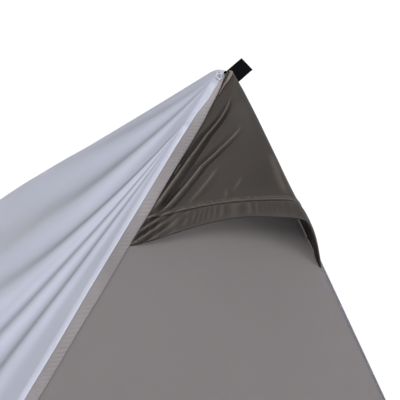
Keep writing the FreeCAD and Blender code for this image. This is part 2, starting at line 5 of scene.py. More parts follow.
import bmesh
import bpy
import numpy as np
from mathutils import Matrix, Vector


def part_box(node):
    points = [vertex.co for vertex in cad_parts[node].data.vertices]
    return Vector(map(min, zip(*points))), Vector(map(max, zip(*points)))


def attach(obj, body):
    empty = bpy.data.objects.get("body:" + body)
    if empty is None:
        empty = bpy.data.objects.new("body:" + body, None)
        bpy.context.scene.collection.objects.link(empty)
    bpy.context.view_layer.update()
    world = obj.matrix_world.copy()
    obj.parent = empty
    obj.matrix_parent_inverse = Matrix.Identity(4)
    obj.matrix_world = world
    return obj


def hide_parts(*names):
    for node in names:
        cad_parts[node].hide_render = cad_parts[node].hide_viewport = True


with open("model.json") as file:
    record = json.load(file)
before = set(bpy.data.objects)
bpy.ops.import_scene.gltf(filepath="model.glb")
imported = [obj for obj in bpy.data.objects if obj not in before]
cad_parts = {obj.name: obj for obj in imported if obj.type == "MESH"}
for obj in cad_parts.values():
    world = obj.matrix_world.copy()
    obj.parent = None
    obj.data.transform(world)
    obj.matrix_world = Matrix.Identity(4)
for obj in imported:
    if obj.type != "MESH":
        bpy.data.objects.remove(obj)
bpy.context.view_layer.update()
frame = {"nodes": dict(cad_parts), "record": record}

bl_info = {
    "name": "Ridge tent fabrics",
    "version": (1, 0, 0),
    "blender": (4, 5, 0),
    "location": "View3D > Sidebar > Tent",
    "description": "Lays cloth, webbing, zips and finishes over the frame of a ridge tent",
    "category": "Object",
}

# ---- sizes read from the frame, in metres ---------------------------------------------------
FLY_LOW, FLY_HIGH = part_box("fly_right")
WALL_LOW, WALL_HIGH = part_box("body_wall_right")
GABLE_LOW, GABLE_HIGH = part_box("vent_gable")
FLOOR_LOW, FLOOR_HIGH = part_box("floor_sheet")
HOOD_LOW, HOOD_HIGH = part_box("vent_end_hood")
STUD_LOW, STUD_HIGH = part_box("fly_studs")
MESH_LOW, MESH_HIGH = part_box("vent_end_mesh")
DOOR_LOW, DOOR_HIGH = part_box("door_panel")
SILL_LOW, SILL_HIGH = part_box("door_sill")
RIM_LOW, RIM_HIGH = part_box("floor_rim")
SPREAD = WALL_HIGH.x / (WALL_HIGH.z - WALL_LOW.z)      # half width gained per height lost
SLANT = math.hypot(1.0, SPREAD)
PEAK = FLY_LOW.z + FLY_HIGH.x / SPREAD                 # where the two roof planes meet
FACE = GABLE_LOW.y                                     # outer face of the vent gable
HALF_LENGTH = FLY_HIGH.y
OUT_X, OUT_Z = 1 / SLANT, SPREAD / SLANT               # outward normal of the right roof plane
RIDGE_ROUND = (PEAK - FLY_HIGH.z) / (SLANT / SPREAD - 1)
HEM_Z = FLY_LOW.z
MM = 0.001
ROOF_TURN = math.atan(1 / SPREAD)                      # angle turned by the cloth from ridge to plane
RIDGE_CENTRE = PEAK - RIDGE_ROUND * SLANT / SPREAD     # height of the axis of the ridge's round
EDGE_GAP = 1.2 * MM                                    # gable cloth stops this far inside the roof plane
DOOR_TOP = PEAK - 310 * MM
WEBBING_WIDTH = 25 * MM
STRAP_WIDTH = 20 * MM
END_NAMES = {-1: "vent_end", 1: "door_end"}


def roof_x(height, depth=0.0):
    """Half width at a height, at a depth square to the roof plane."""
    return SPREAD * (PEAK - height) - depth * SLANT


# ---- mesh helpers ---------------------------------------------------------------------------
def build_mesh(name, points, quads, uv=None, smooth=True, fold=None):
    """Mesh object from an (n, 3) array of points, an (m, 4) array of quads and per-point UVs.

    fold is a value per point, from -1 in a crease to 1 on its crest, kept as an attribute for painted shade
    and highlight.
    """
    mesh = bpy.data.meshes.new(name)
    count = len(quads)
    mesh.vertices.add(len(points))
    mesh.vertices.foreach_set("co", np.asarray(points, np.float32).ravel())
    mesh.loops.add(count * 4)
    mesh.loops.foreach_set("vertex_index", np.asarray(quads, np.int32).ravel())
    mesh.polygons.add(count)
    mesh.polygons.foreach_set("loop_start", np.arange(0, count * 4, 4, dtype=np.int32))
    mesh.polygons.foreach_set("loop_total", np.full(count, 4, np.int32))
    mesh.update(calc_edges=True)
    if uv is not None:
        layer = mesh.uv_layers.new(name="cloth")
        layer.data.foreach_set("uv", np.asarray(uv, np.float32)[np.asarray(quads).ravel()].ravel())
    mesh.polygons.foreach_set("use_smooth", np.full(count, smooth))
    if fold is not None:
        mesh.attributes.new("fold", "FLOAT", "POINT").data.foreach_set(
            "value", np.asarray(fold, np.float32).ravel())
    mesh.validate()
    piece = bpy.data.objects.new(name, mesh)
    bpy.context.scene.collection.objects.link(piece)
    return piece


def grid_quads(rows, columns, flip=False, keep=None):
    """Quads of a rows by columns grid of points; keep masks the cells that stay."""
    index = np.arange(rows * columns).reshape(rows, columns)
    quads = np.stack([index[:-1, :-1], index[1:, :-1], index[1:, 1:], index[:-1, 1:]], -1)
    if keep is not None:
        quads = quads[keep]
    quads = quads.reshape(-1, 4)
    return quads[:, ::-1] if flip else quads


def cloth(name, points, uv, flip=False, wall=0.6 * MM, keep=None, merge=False, fold=None):
    """Sheet from a (rows, columns, 3) grid of points, given a thin wall behind its outer face.

    merge joins the points that lie in one place, at a pole or along a closed seam.
    """
    rows, columns = points.shape[:2]
    quads = grid_quads(rows, columns, flip, keep)
    piece = build_mesh(name, points.reshape(-1, 3), quads, uv.reshape(-1, 2), fold=fold)
    if merge:
        joined = bmesh.new()
        joined.from_mesh(piece.data)
        bmesh.ops.remove_doubles(joined, verts=joined.verts, dist=0.02 * MM)
        joined.to_mesh(piece.data)
        joined.free()
    if wall:
        solid = piece.modifiers.new("wall", "SOLIDIFY")
        solid.thickness = wall
        solid.offset = -1
    return piece


def spaced(low, high, count, crowd=1.0):
    """Positions from low to high that crowd towards low: low + span * t ** crowd."""
    t = np.linspace(0, 1, count) ** crowd
    return low + (high - low) * t


def bump_line(value, centre, width):
    """Smooth bell of height 1 about a centre."""
    return np.exp(-((value - centre) / width) ** 2)


def at_end(points, end):
    """Points of the vent end, turned half a turn about the vertical if they are for the door end."""
    return points * np.array([-1.0, -1.0, 1.0]) if end > 0 else points


def roof_normal(side):
    """Outward normal of one roof plane."""
    return np.array([side * OUT_X, 0, OUT_Z])


def distances(path):
    """Distance along a path of points to each of them."""
    return np.concatenate([[0], np.cumsum(np.linalg.norm(np.diff(path, axis=0), axis=1))])


def resample(path, distance, places):
    """Points at some places along a path, whose own points are at the given distances."""
    return np.stack([np.interp(places, distance, path[:, i]) for i in range(3)], 1)


def dress(piece, material, body="tent", replaces=()):
    """Gives a finished piece its material, its body and the CAD nodes it stands for."""
    piece.data.materials.append(material)
    if replaces:
        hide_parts(*replaces)
    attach(piece, body)
    return piece


def capsules(name, centres, along, outward, length, radius, height):
    """Row of small six-sided grains: each is a ring of six points pulled to a point at both ends.

    Point = centre + along * a + side * b + outward * c, with the ring at a = +-length / 4.
    """
    along = along / np.linalg.norm(along, axis=1, keepdims=True)
    side = np.cross(along, outward)
    side /= np.linalg.norm(side, axis=1, keepdims=True)
    angles = np.arange(6) * math.pi / 3
    ring = np.stack([np.zeros(6), np.cos(angles) * radius, np.sin(angles) * height], 1)
    rings = [ring * (1, 0.35, 0.35) + (-length / 2, 0, 0), ring + (-length / 4, 0, 0),
             ring + (length / 4, 0, 0), ring * (1, 0.35, 0.35) + (length / 2, 0, 0)]
    local = np.concatenate(rings)
    points = (centres[:, None] + along[:, None] * local[None, :, :1] + side[:, None] * local[None, :, 1:2]
              + outward[:, None] * local[None, :, 2:3])
    ring_index = np.arange(6)
    following = (ring_index + 1) % 6
    quads = [np.stack([ring_index + 6 * k, following + 6 * k, following + 6 * (k + 1),
                       ring_index + 6 * (k + 1)], 1) for k in range(3)]
    caps = [np.array([[3, 2, 1, 0], [5, 4, 3, 0]]), np.array([[18, 19, 20, 21], [18, 21, 22, 23]])]
    template = np.concatenate(quads + caps)
    quads = (template[None] + np.arange(len(centres))[:, None, None] * len(local)).reshape(-1, 4)
    return build_mesh(name, points.reshape(-1, 3), quads)


def stitch_row(name, path, outward, pitch=4 * MM, thread=0.42 * MM, lift=0.15 * MM):
    """Stitches laid end to end along a path of points, each four fifths of the pitch long."""
    distance = distances(path)
    places = np.arange(pitch / 2, distance[-1], pitch)
    centres = resample(path, distance, places)
    normals = resample(outward, distance, places)
    normals /= np.linalg.norm(normals, axis=1, keepdims=True)
    ahead = resample(path, distance, places + MM)
    behind = resample(path, distance, places - MM)
    return capsules(name, centres + normals * lift, ahead - behind, normals, 0.8 * pitch, thread, thread)


# ---- materials ------------------------------------------------------------------------------
class Nodes:
    """Short hand for one material's node tree."""

    def __init__(self, name, colour, roughness):
        self.material = bpy.data.materials.new(name)
        self.material.use_nodes = True
        self.tree = self.material.node_tree
        self.shader = self.tree.nodes["Principled BSDF"]
        self.shader.inputs["Base Color"].default_value = (*colour, 1)
        self.shader.inputs["Roughness"].default_value = roughness
        self.places = self.tree.nodes.new("ShaderNodeTexCoord")

    def add(self, kind, **values):
        node = self.tree.nodes.new("ShaderNode" + kind)
        for key, value in values.items():
            if key in node.inputs:
                node.inputs[key].default_value = value
            else:
                setattr(node, key, value)
        return node

    def link(self, out, into):
        self.tree.links.new(out, into)

    def noise(self, scale, detail=3.0, where="Object", distortion=0.0, stretch=(1, 1, 1)):
        mapping = self.add("Mapping")
        mapping.inputs["Scale"].default_value = stretch
        self.link(self.places.outputs[where], mapping.inputs["Vector"])
        noise = self.add("TexNoise")
        noise.inputs["Scale"].default_value = scale
        noise.inputs["Detail"].default_value = detail
        noise.inputs["Distortion"].default_value = distortion
        self.link(mapping.outputs["Vector"], noise.inputs["Vector"])
        return noise.outputs["Fac"]

    def wave(self, period, direction, where="UV"):
        """Sine bands of one period, in metres of the coordinate."""
        wave = self.add("TexWave", bands_direction=direction)
        wave.inputs["Scale"].default_value = 2 * math.pi / 20 / period
        self.link(self.places.outputs[where], wave.inputs["Vector"])
        return wave.outputs["Fac"]

    def maths(self, operation, a, b=None):
        node = self.add("Math", operation=operation)
        for socket, value in zip(node.inputs, (a, b)):
            if value is None:
                continue
            if isinstance(value, (int, float)):
                socket.default_value = value
            else:
                self.link(value, socket)
        return node.outputs[0]

    def ramp(self, fac, low, high, start=0.3, end=0.7):
        ramp = self.add("ValToRGB")
        ramp.color_ramp.elements[0].position = start
        ramp.color_ramp.elements[1].position = end
        ramp.color_ramp.elements[0].color = (*low, 1)
        ramp.color_ramp.elements[1].color = (*high, 1)
        self.link(fac, ramp.inputs["Fac"])
        return ramp.outputs["Color"]

    def colour(self, out):
        self.link(out, self.shader.inputs["Base Color"])

    def painted_shading(self, lighten, darken):
        """Painted highlight and shade: scales the colour by 1 + lighten * fold on crests and 1 + darken *
        fold in creases.
        """
        fold = self.add("Attribute", attribute_name="fold").outputs["Fac"]
        crest = self.maths("MULTIPLY", self.maths("MAXIMUM", fold, 0.0), lighten)
        crease = self.maths("MULTIPLY", self.maths("MINIMUM", fold, 0.0), darken)
        scale = self.add("VectorMath", operation="SCALE")
        self.link(self.shader.inputs["Base Color"].links[0].from_socket, scale.inputs[0])
        self.link(self.maths("ADD", self.maths("ADD", crest, crease), 1.0), scale.inputs["Scale"])
        self.colour(scale.outputs[0])

    def roughness(self, fac, low, high):
        spread = self.add("MapRange")
        spread.inputs["To Min"].default_value = low
        spread.inputs["To Max"].default_value = high
        self.link(fac, spread.inputs["Value"])
        self.link(spread.outputs["Result"], self.shader.inputs["Roughness"])

    def bump(self, height, distance, strength=1.0):
        """Adds one more bump on top of those already there."""
        bump = self.add("Bump")
        bump.inputs["Distance"].default_value = distance
        bump.inputs["Strength"].default_value = strength
        self.link(height, bump.inputs["Height"])
        old = self.shader.inputs["Normal"]
        if old.is_linked:
            self.link(old.links[0].from_socket, bump.inputs["Normal"])
        self.link(bump.outputs["Normal"], old)


def shade(colour, factor):
    return tuple(min(1.0, channel * factor) for channel in colour)


def woven(name, colour, roughness, thread=0.5 * MM, relief=0.06 * MM, vary=0.06, crumple=0.25 * MM,
          specular=0.5, ripstop=0.0, painted_shading=None):
    """Plain-weave cloth: crossing sine threads, faint cloudy dye and small crumples, with painted highlight
    and shade along its folds when asked for.
    """
    nodes = Nodes(name, colour, roughness)
    warp = nodes.wave(thread, "X")
    weft = nodes.wave(thread, "Y")
    weave = nodes.maths("MULTIPLY", warp, weft)
    cloud = nodes.noise(9.0, 4.0)
    nodes.colour(nodes.ramp(cloud, shade(colour, 1 - vary), shade(colour, 1 + vary)))
    # painted highlight on the crests and painted shade in the creases, read from the fold attribute
    if painted_shading:
        nodes.painted_shading(*painted_shading)
    nodes.roughness(nodes.noise(420.0, 2.0), roughness - 0.05, roughness + 0.07)
    nodes.bump(nodes.noise(34.0, 4.0, distortion=0.6), crumple)
    if ripstop:
        grid_x = nodes.maths("POWER", nodes.wave(ripstop, "X"), 12.0)
        grid_y = nodes.maths("POWER", nodes.wave(ripstop, "Y"), 12.0)
        nodes.bump(nodes.maths("MAXIMUM", grid_x, grid_y), 0.12 * MM)
    nodes.bump(weave, relief)
    nodes.shader.inputs["Specular IOR Level"].default_value = specular
    return nodes.material


def webbing(name, colour):
    """Coarse webbing: slanting ribs along its length."""
    nodes = Nodes(name, colour, 0.72)
    rib = nodes.maths("MULTIPLY", nodes.wave(1.6 * MM, "X"), nodes.wave(1.1 * MM, "DIAGONAL"))
    nodes.colour(nodes.ramp(rib, shade(colour, 0.6), shade(colour, 1.7), 0.1, 0.9))
    nodes.bump(rib, 0.25 * MM)
    nodes.bump(nodes.noise(900.0, 2.0), 0.05 * MM)
    nodes.shader.inputs["Specular IOR Level"].default_value = 0.04
    return nodes.material


def moulded(name, colour, roughness, grain=0.03 * MM):
    """Moulded plastic or rubber with a fine grain and handling marks."""
    nodes = Nodes(name, colour, roughness)
    marks = nodes.noise(70.0, 5.0)
    nodes.colour(nodes.ramp(marks, shade(colour, 0.85), shade(colour, 1.2)))
    nodes.roughness(marks, roughness - 0.08, roughness + 0.1)
    nodes.bump(nodes.noise(1800.0, 2.0), grain)
    return nodes.material


def metal(name, colour, roughness, metallic=1.0, brush=0.0):
    """Metal or painted tube with faint streaks and worn, cloudier patches."""
    nodes = Nodes(name, colour, roughness)
    nodes.shader.inputs["Metallic"].default_value = metallic
    patches = nodes.noise(28.0, 5.0)
    nodes.colour(nodes.ramp(patches, shade(colour, 0.88), shade(colour, 1.1)))
    nodes.roughness(nodes.noise(160.0, 3.0), roughness - 0.08, roughness + 0.12)
    nodes.bump(nodes.noise(900.0, 2.0, stretch=(1, 1, 1 - brush)), 0.015 * MM)
    return nodes.material


def insect_mesh(name, colour):
    """Insect mesh: crossing threads with see-through holes, as a mask on the cloth's own UV map."""
    nodes = Nodes(name, colour, 0.7)
    warp = nodes.maths("POWER", nodes.wave(1.2 * MM, "X"), 3.0)
    weft = nodes.maths("POWER", nodes.wave(1.2 * MM, "Y"), 3.0)
    threads = nodes.maths("MAXIMUM", warp, weft)
    mask = nodes.maths("GREATER_THAN", threads, 0.35)
    nodes.link(mask, nodes.shader.inputs["Alpha"])
    nodes.colour(nodes.ramp(threads, shade(colour, 0.7), shade(colour, 1.4)))
    nodes.bump(threads, 0.1 * MM)
    return nodes.material


_finishes = {}


def finish_named(name):
    """Each finish is made once, from the colours set in the panel."""
    if name not in _finishes:
        looks = bpy.context.scene.tent_looks
        makers = {
            # painted highlight and shade along the fly's folds
            "silver_fly": lambda: woven(name, looks.fly_colour, 0.5, vary=0.03, crumple=0.5 * MM,
                                        specular=0.4, painted_shading=(0.4, 0.62)),
            # painted highlight and shade along the hem's puckers
            "hem_tape": lambda: woven(name, looks.tape_colour, 0.8, thread=1.1 * MM, relief=0.2 * MM,
                                      vary=0.16, crumple=0.7 * MM, specular=0.3, painted_shading=(0.3, 0.3)),
            "binding_tape": lambda: woven(name, shade(looks.hood_colour, 5.2), 0.6, thread=0.9 * MM,
                                          relief=0.15 * MM, crumple=0.4 * MM),
            "gable_fabric": lambda: woven(name, looks.gable_colour, 0.72, vary=0.02, crumple=0.12 * MM,
                                          specular=0.25),
            # strong painted highlight on the hood's crests, painted shade in its creases
            "hood_fabric": lambda: woven(name, looks.hood_colour, 0.4, vary=0.08, crumple=0.6 * MM,
                                         specular=0.3, painted_shading=(3.0, 0.8)),
            "body_fabric": lambda: woven(name, looks.body_colour, 0.68, vary=0.04, ripstop=5 * MM),
            "floor_fabric": lambda: woven(name, looks.floor_colour, 0.5, thread=1.2 * MM, relief=0.12 * MM),
            "vent_mesh": lambda: insect_mesh(name, (0.03, 0.03, 0.03)),
            "black_webbing": lambda: webbing(name, (0.002, 0.002, 0.003)),
            "thread_pale": lambda: moulded(name, (0.33, 0.29, 0.27), 0.6),
            "thread_dark": lambda: moulded(name, (0.025, 0.02, 0.018), 0.55),
            "stud_plastic": lambda: moulded(name, (0.30, 0.29, 0.30), 0.35),
            "spring_strip": lambda: moulded(name, (0.55, 0.55, 0.52), 0.4),
            "zip_coil": lambda: moulded(name, (0.02, 0.02, 0.021), 0.4),
            "zip_tape": lambda: woven(name, (0.02, 0.019, 0.019), 0.75, thread=0.7 * MM, relief=0.1 * MM),
            "zip_metal": lambda: metal(name, (0.05, 0.05, 0.052), 0.38, metallic=0.6),
            "eyelet_brass": lambda: metal(name, (0.62, 0.45, 0.2), 0.3),
            "cap_rubber": lambda: moulded(name, (0.02, 0.02, 0.02), 0.75, grain=0.08 * MM),
            "frame_plastic": lambda: moulded(name, (0.022, 0.022, 0.025), 0.45),
            "buckle_plastic": lambda: moulded(name, (0.018, 0.018, 0.019), 0.38),
            "pole_steel": lambda: metal(name, (0.17, 0.18, 0.19), 0.36, metallic=0.4, brush=0.97),
            "button_steel": lambda: metal(name, (0.6, 0.6, 0.6), 0.24, brush=0.9),
        }
        _finishes[name] = makers[name]()
    return _finishes[name]


# ---- fly ------------------------------------------------------------------------------------
def roof_point(side, run, y, lift=0.0):
    """Point on the fly at a run down from the ridge line.

    The run first turns round the ridge on an arc, then goes straight down the roof plane.
    """
    angle = np.clip(run / RIDGE_ROUND, 0, ROOF_TURN)
    radius = RIDGE_ROUND + lift
    straight = np.maximum(run - RIDGE_ROUND * ROOF_TURN, 0)
    x = radius * np.sin(angle) + straight * OUT_Z
    z = RIDGE_CENTRE + radius * np.cos(angle) - straight * OUT_X
    return np.stack(np.broadcast_arrays(side * x, y, z), -1)


# folds of the fly that fan out from its peak corners. Each is an angle off straight down and a half
# width, both in degrees and given at two reaches from the corner, then the slope of its flanks
FOLD_REACHES = (0.18, 0.46)
PEAK_FOLDS = (((4.1, 10.6), (1.5, 3.2), 0.17),
              ((8.8, 22.5), (1.9, 3.9), 0.18),
              ((12.2, 31.0), (0.8, 2.0), 0.06),
              ((15.7, 39.0), (4.0, 8.2), 0.21),
              ((46.0, 59.0), (10.0, 11.0), 0.16),
              ((76.0, 86.0), (10.0, 8.0), 0.17))
ROLL = 6 * MM                    # radius of the fly's edge where it turns over a gable's margin
STRIP_TOP = 27 * MM              # drop from the peak to the top of the hem strip
NOSE_DROOP, NOSE_LENGTH = 9.4 * MM, 32 * MM


def fan_folds(angle, reach):
    """Sum of bells in the angle: height * exp(-((angle - centre) / width) ** 2).

    Each bell's centre and width grow with the logarithm of the reach. Its height keeps the slope of its
    flanks, fades in over the first stretch and dies out along the panel.
    """
    total = np.zeros_like(angle)
    near_reach, far_reach = FOLD_REACHES
    growth = np.log(np.maximum(reach, 0.02) / near_reach) / math.log(far_reach / near_reach)
    loose = reach ** 2 / (reach ** 2 + 0.1)
    for (near, far), (near_width, far_width), slope in PEAK_FOLDS:
        sway = loose * (0.6 * np.sin(reach * 9.0 + far) + 0.3 * np.sin(reach * 23.0 + 2 * far))
        centre = near + (far - near) * growth
        width = np.maximum(near_width + (far_width - near_width) * growth, 0.5 * near_width)
        height = slope * np.radians(width) * reach / 0.86 * np.clip(centre / 8, 0, 1)
        total += height * bump_line(angle, centre + sway, width)
    return total * (1 - np.exp(-reach / 0.07)) * np.exp(-(reach / 1.0) ** 2)


def roof_run():
    """Length of cloth from the ridge line to the hem."""
    tangent_z = RIDGE_CENTRE + RIDGE_ROUND * OUT_Z
    return RIDGE_ROUND * ROOF_TURN + (tangent_z - HEM_Z) * SLANT


def fly_lift(side, run, y):
    """Height of the fly's wrinkles off its plane: fans from the peak corners, then slow slack waves."""
    run, y = np.broadcast_arrays(run, y)
    lift = np.zeros(run.shape)
    for end in (-1, 1):
        from_end = np.maximum(HALF_LENGTH - end * y, 0)
        down = np.maximum(run - 26 * MM, 0)
        reach = np.hypot(from_end, down)
        strength = 1.0 if side == end else 0.6
        lift += strength * fan_folds(np.degrees(np.arctan2(from_end, down + 1e-6)), reach)
    length = roof_run()
    away = (np.sin(math.pi * np.clip(run / length, 0, 1)) * np.cos(math.pi * y / (2 * HALF_LENGTH))) ** 0.5
    lift += away * MM * (1.6 * np.sin(run * 7 + 2.0 * np.sin(y * 3))
                         + 1.1 * np.sin(y * 11 + 3 * np.sin(run * 4))
                         + 0.5 * np.sin(y * 31 + 5 * np.sin(run * 9)))
    lift += np.exp(-(length - run) / 0.04) * MM * 0.7 * np.sin(y * 70 + 2 * np.sin(y * 17))
    return lift + 1.4 * MM


def nose(y):
    """How far the ridge droops where it runs out at each end."""
    return NOSE_DROOP * np.clip((np.abs(y) - HALF_LENGTH + NOSE_LENGTH) / NOSE_LENGTH, 0, 1.1) ** 2


def make_fly_panel(side):
    """One roof panel: its ridge arc and plane, wrinkled, turned over the gable that has a hem strip, with
    painted light and shade along its wrinkles.

    The turn is a quarter circle: inwards roll * (1 - cos angle), out along the ridge roll * sin angle.
    """
    name = "fly_right" if side > 0 else "fly_left"
    length = roof_run()
    run = np.concatenate([np.linspace(0, 12 * MM, 7)[:-1], spaced(12 * MM, length, 205, 1.45)])[:, None]
    rolled, plain = HALF_LENGTH + 2.4 * MM - ROLL, HALF_LENGTH - 0.4 * MM
    vent_stop, door_stop = (rolled, plain) if side < 0 else (plain, rolled)
    vent_half = -vent_stop + spaced(0, vent_stop, 190, 1.7)
    door_half = door_stop - spaced(0, door_stop, 190, 1.7)[-2::-1]
    y = np.concatenate([vent_half, door_half])[None, :]
    lift = fly_lift(side, run, y) * np.clip(run / (24 * MM), 0, 1)
    outwards = -np.sign(y) * np.gradient(lift, axis=1) / np.gradient(y[0])[None, :]
    downhill = np.gradient(lift, axis=0) / np.gradient(run[:, 0])[:, None]
    points = roof_point(side, run, y) + lift[..., None] * roof_normal(side)
    # painted light and shade: lighter and darker colour from the slopes of the wrinkles
    fold = np.clip(4.6 * outwards - 3.5 * downhill * np.clip(run / (60 * MM), 0, 1), -1, 1)
    angle = np.linspace(0, math.pi / 2, 10)[None, 1:]
    rim, rim_fold = (points[:, :1], fold[:, :1]) if side < 0 else (points[:, -1:], fold[:, -1:])
    down = run / SLANT + 0.01 * np.exp(-run / 0.02)
    inwards = ROLL * (1 - np.cos(angle)) * np.clip(run / (14 * MM), 0, 1)
    flap = np.linspace(0, 1, 7)[None, 1:] * np.maximum(strip_near(down) + 1.5 * MM - ROLL * SLANT, 0.5 * MM)
    flap = flap * np.clip(run / (14 * MM), 0, 1)
    curl = rim - inwards[..., None] * roof_normal(side)
    curl[..., 1] += side * ROLL * np.sin(angle)
    lap = curl[:, -1:] - flap[..., None] * np.array([side, 0, 0])
    curl = np.concatenate([curl, lap], 1)
    curl_fold = np.repeat(rim_fold, curl.shape[1], 1)
    if side < 0:
        points = np.concatenate([curl[:, ::-1], points], 1)
        fold = np.concatenate([curl_fold[:, ::-1], fold], 1)
    else:
        points = np.concatenate([points, curl], 1)
        fold = np.concatenate([fold, curl_fold], 1)
    points[..., 2] -= nose(points[..., 1]) * np.exp(-run / (40 * MM))
    steps = np.linalg.norm(np.diff(points, axis=1), axis=-1).mean(0)
    uv = np.stack(np.broadcast_arrays(np.concatenate([[0], np.cumsum(steps)])[None, :], run), -1)
    piece = cloth(name + "_cloth", points, uv, flip=side < 0, wall=0, fold=fold)
    dress(piece, finish_named("silver_fly"), replaces=(name,))
    return piece


# ---- hem strip and stud ---------------------------------------------------------------------
def strip_far(down):
    """Level distance from the roof plane to the hem strip's inner edge."""
    return np.interp(down, (0.03, 0.055, 0.08, 0.105, 1.2), (13.8, 18.2, 20.6, 22.6, 22.6)) * MM


def strip_near(down):
    """Level distance from the roof plane at which the hem strip comes out from under the rolled edge."""
    wide = np.interp(down, (0.033, 0.07, 0.1, 0.16, 0.38, 0.45, 1.2), (12.2, 12.6, 8, 6.4, 6.4, 8, 8)) * MM
    return np.minimum(wide, np.maximum(SPREAD * down - 5 * MM, 0))


def strip_pucker(across, down):
    """Slanting ripples between the strip's two rows of stitches, from -1 to 1."""
    return np.sin(down * 1050 + 5 * across + 3 * np.sin(down * 37)) * bump_line(across, 0.55, 0.4)


def strip_surface(across, down, lift):
    """Hem strip at the vent end: across runs from the rolled edge inwards, down is the drop from the peak."""
    near = strip_near(down) - 2 * MM
    far = strip_far(down)
    puff = np.sin(math.pi * np.clip(across, 0, 1)) ** 0.5
    wave = strip_pucker(across, down)
    level = near + (far - near + 0.35 * MM * np.sin(down * 55)) * across
    x = -SPREAD * down + level
    y = FACE - lift - (1.0 * puff + 0.22 * wave) * MM
    return np.stack(np.broadcast_arrays(x, y, PEAK - down), -1)


def make_hem_strip(end):
    """Stitched hem strip with two rows of stitches along it."""
    low, high = STRIP_TOP, PEAK - HEM_Z
    down = np.linspace(low, high, 1400)[None, :]
    across = np.linspace(0, 1, 13)[:, None]
    points = strip_surface(across, down, 1.5 * MM)
    uv = np.stack(np.broadcast_arrays(across * 15 * MM, down * SLANT), -1)
    # painted shade and highlight along the puckers, uneven along the strip, and a lighter colour near its top
    patchy = 1 + np.sin(down * 61 + 2 * np.sin(down * 23))
    fold = 0.16 * strip_pucker(across, down) * patchy + 1.4 * bump_line(down, 0.04, 0.06)
    for index, share in enumerate((0.24, 0.88)):
        path_down = np.linspace(low + 20 * MM, high - 4 * MM, 700)
        path = strip_surface(share, path_down, 1.6 * MM)
        outward = np.tile([0.0, -1.0, 0.0], (len(path), 1))
        row = stitch_row(f"{END_NAMES[end]}_strip_stitches_{index}", at_end(path, end), at_end(outward, end),
                         pitch=3.6 * MM)
        dress(row, finish_named("thread_pale"))
    name = END_NAMES[end] + "_hem_strip"
    piece = cloth(name + "_cloth", at_end(points, end), uv, wall=1.0 * MM, fold=fold)
    dress(piece, finish_named("hem_tape"), replaces=(name,))
    return piece


def make_studs():
    """Covered stud: a rounded button with swirled puckers and painted shade in its hollow, turned about Y."""
    radius = (STUD_HIGH.z - STUD_LOW.z) / 2
    centre_x = STUD_LOW.x + radius - 2.6 * MM
    centre_z = (STUD_LOW.z + STUD_HIGH.z) / 2
    share = np.linspace(0, 1, 26)[:, None]
    angle = np.linspace(0, 2 * math.pi, 97)[None, :]
    hollow = 1 - 0.45 * np.exp(-(share / 0.2) ** 2)
    profile = 2.6 * np.sqrt(np.clip(1 - (2 * share - 1.05) ** 2, 0, 1)) * hollow
    swirl = np.sin(2 * angle + 11 * share) * share * (1 - share) * 4
    out = (profile + 0.25 * swirl) * MM
    # painted shade in the swirled hollow and a painted highlight round the rim
    fold = 0.2 * bump_line(share, 0.9, 0.12) - (0.75 + 0.3 * swirl) * bump_line(share, 0.35, 0.35)
    pieces = []
    for end in (-1, 1):
        points = np.stack(np.broadcast_arrays(centre_x + radius * share * np.cos(angle),
                                              FACE - 3.6 * MM - out,
                                              centre_z + radius * share * np.sin(angle)), -1)
        uv = np.stack(np.broadcast_arrays(share * radius, angle * radius), -1)
        piece = cloth(f"fly_stud_{END_NAMES[end]}", at_end(points, end), uv, flip=True, wall=0.4 * MM,
                      merge=True, fold=fold)
        dress(piece, finish_named("silver_fly"), replaces=("fly_studs",))
        pieces.append(piece)
    return pieces


# ---- hoods ----------------------------------------------------------------------------------
HOOD_APEX = 18 * MM                                               # drop from the peak to its top
HOOD_DROPS = (PEAK - HOOD_LOW.z, PEAK - HOOD_LOW.z - 11 * MM)     # strip side, free side
HOOD_DEPTH = FACE - HOOD_LOW.y
HOOD_RISE = 43 * MM                                               # of the hem's arch
HOOD_CROWN = 0.69                                                 # share across at the deepest point
HOOD_BLUNT = 0.025                                                # keeps the top of the hood rounded
HEM_SHARE = 0.85                                                  # share at which the rows close up
SEAM_LENGTH = HOOD_DROPS[0] - HOOD_APEX
# creases of the hood: shares across at shares down the seam, half width across, height
HOOD_CREASES = (((0.16, 0.40, 0.53, 0.66, 0.80), (0.338, 0.114, 0.062, 0.034, 0.010), 0.012, 4.2 * MM),
                ((0.36, 0.50, 0.60, 0.84), (0.466, 0.278, 0.170, 0.062), 0.010, 3.0 * MM),
                ((0.62, 0.69, 0.82), (0.290, 0.255, 0.185), 0.014, 1.3 * MM),
                ((0.70, 0.73, 0.79), (0.445, 0.430, 0.398), 0.010, 0.9 * MM),
                ((0.77, 0.80, 0.84), (0.360, 0.357, 0.357), 0.009, 0.8 * MM),
                ((0.54, 0.70, 0.81), (0.672, 0.657, 0.660), 0.030, 0.9 * MM))


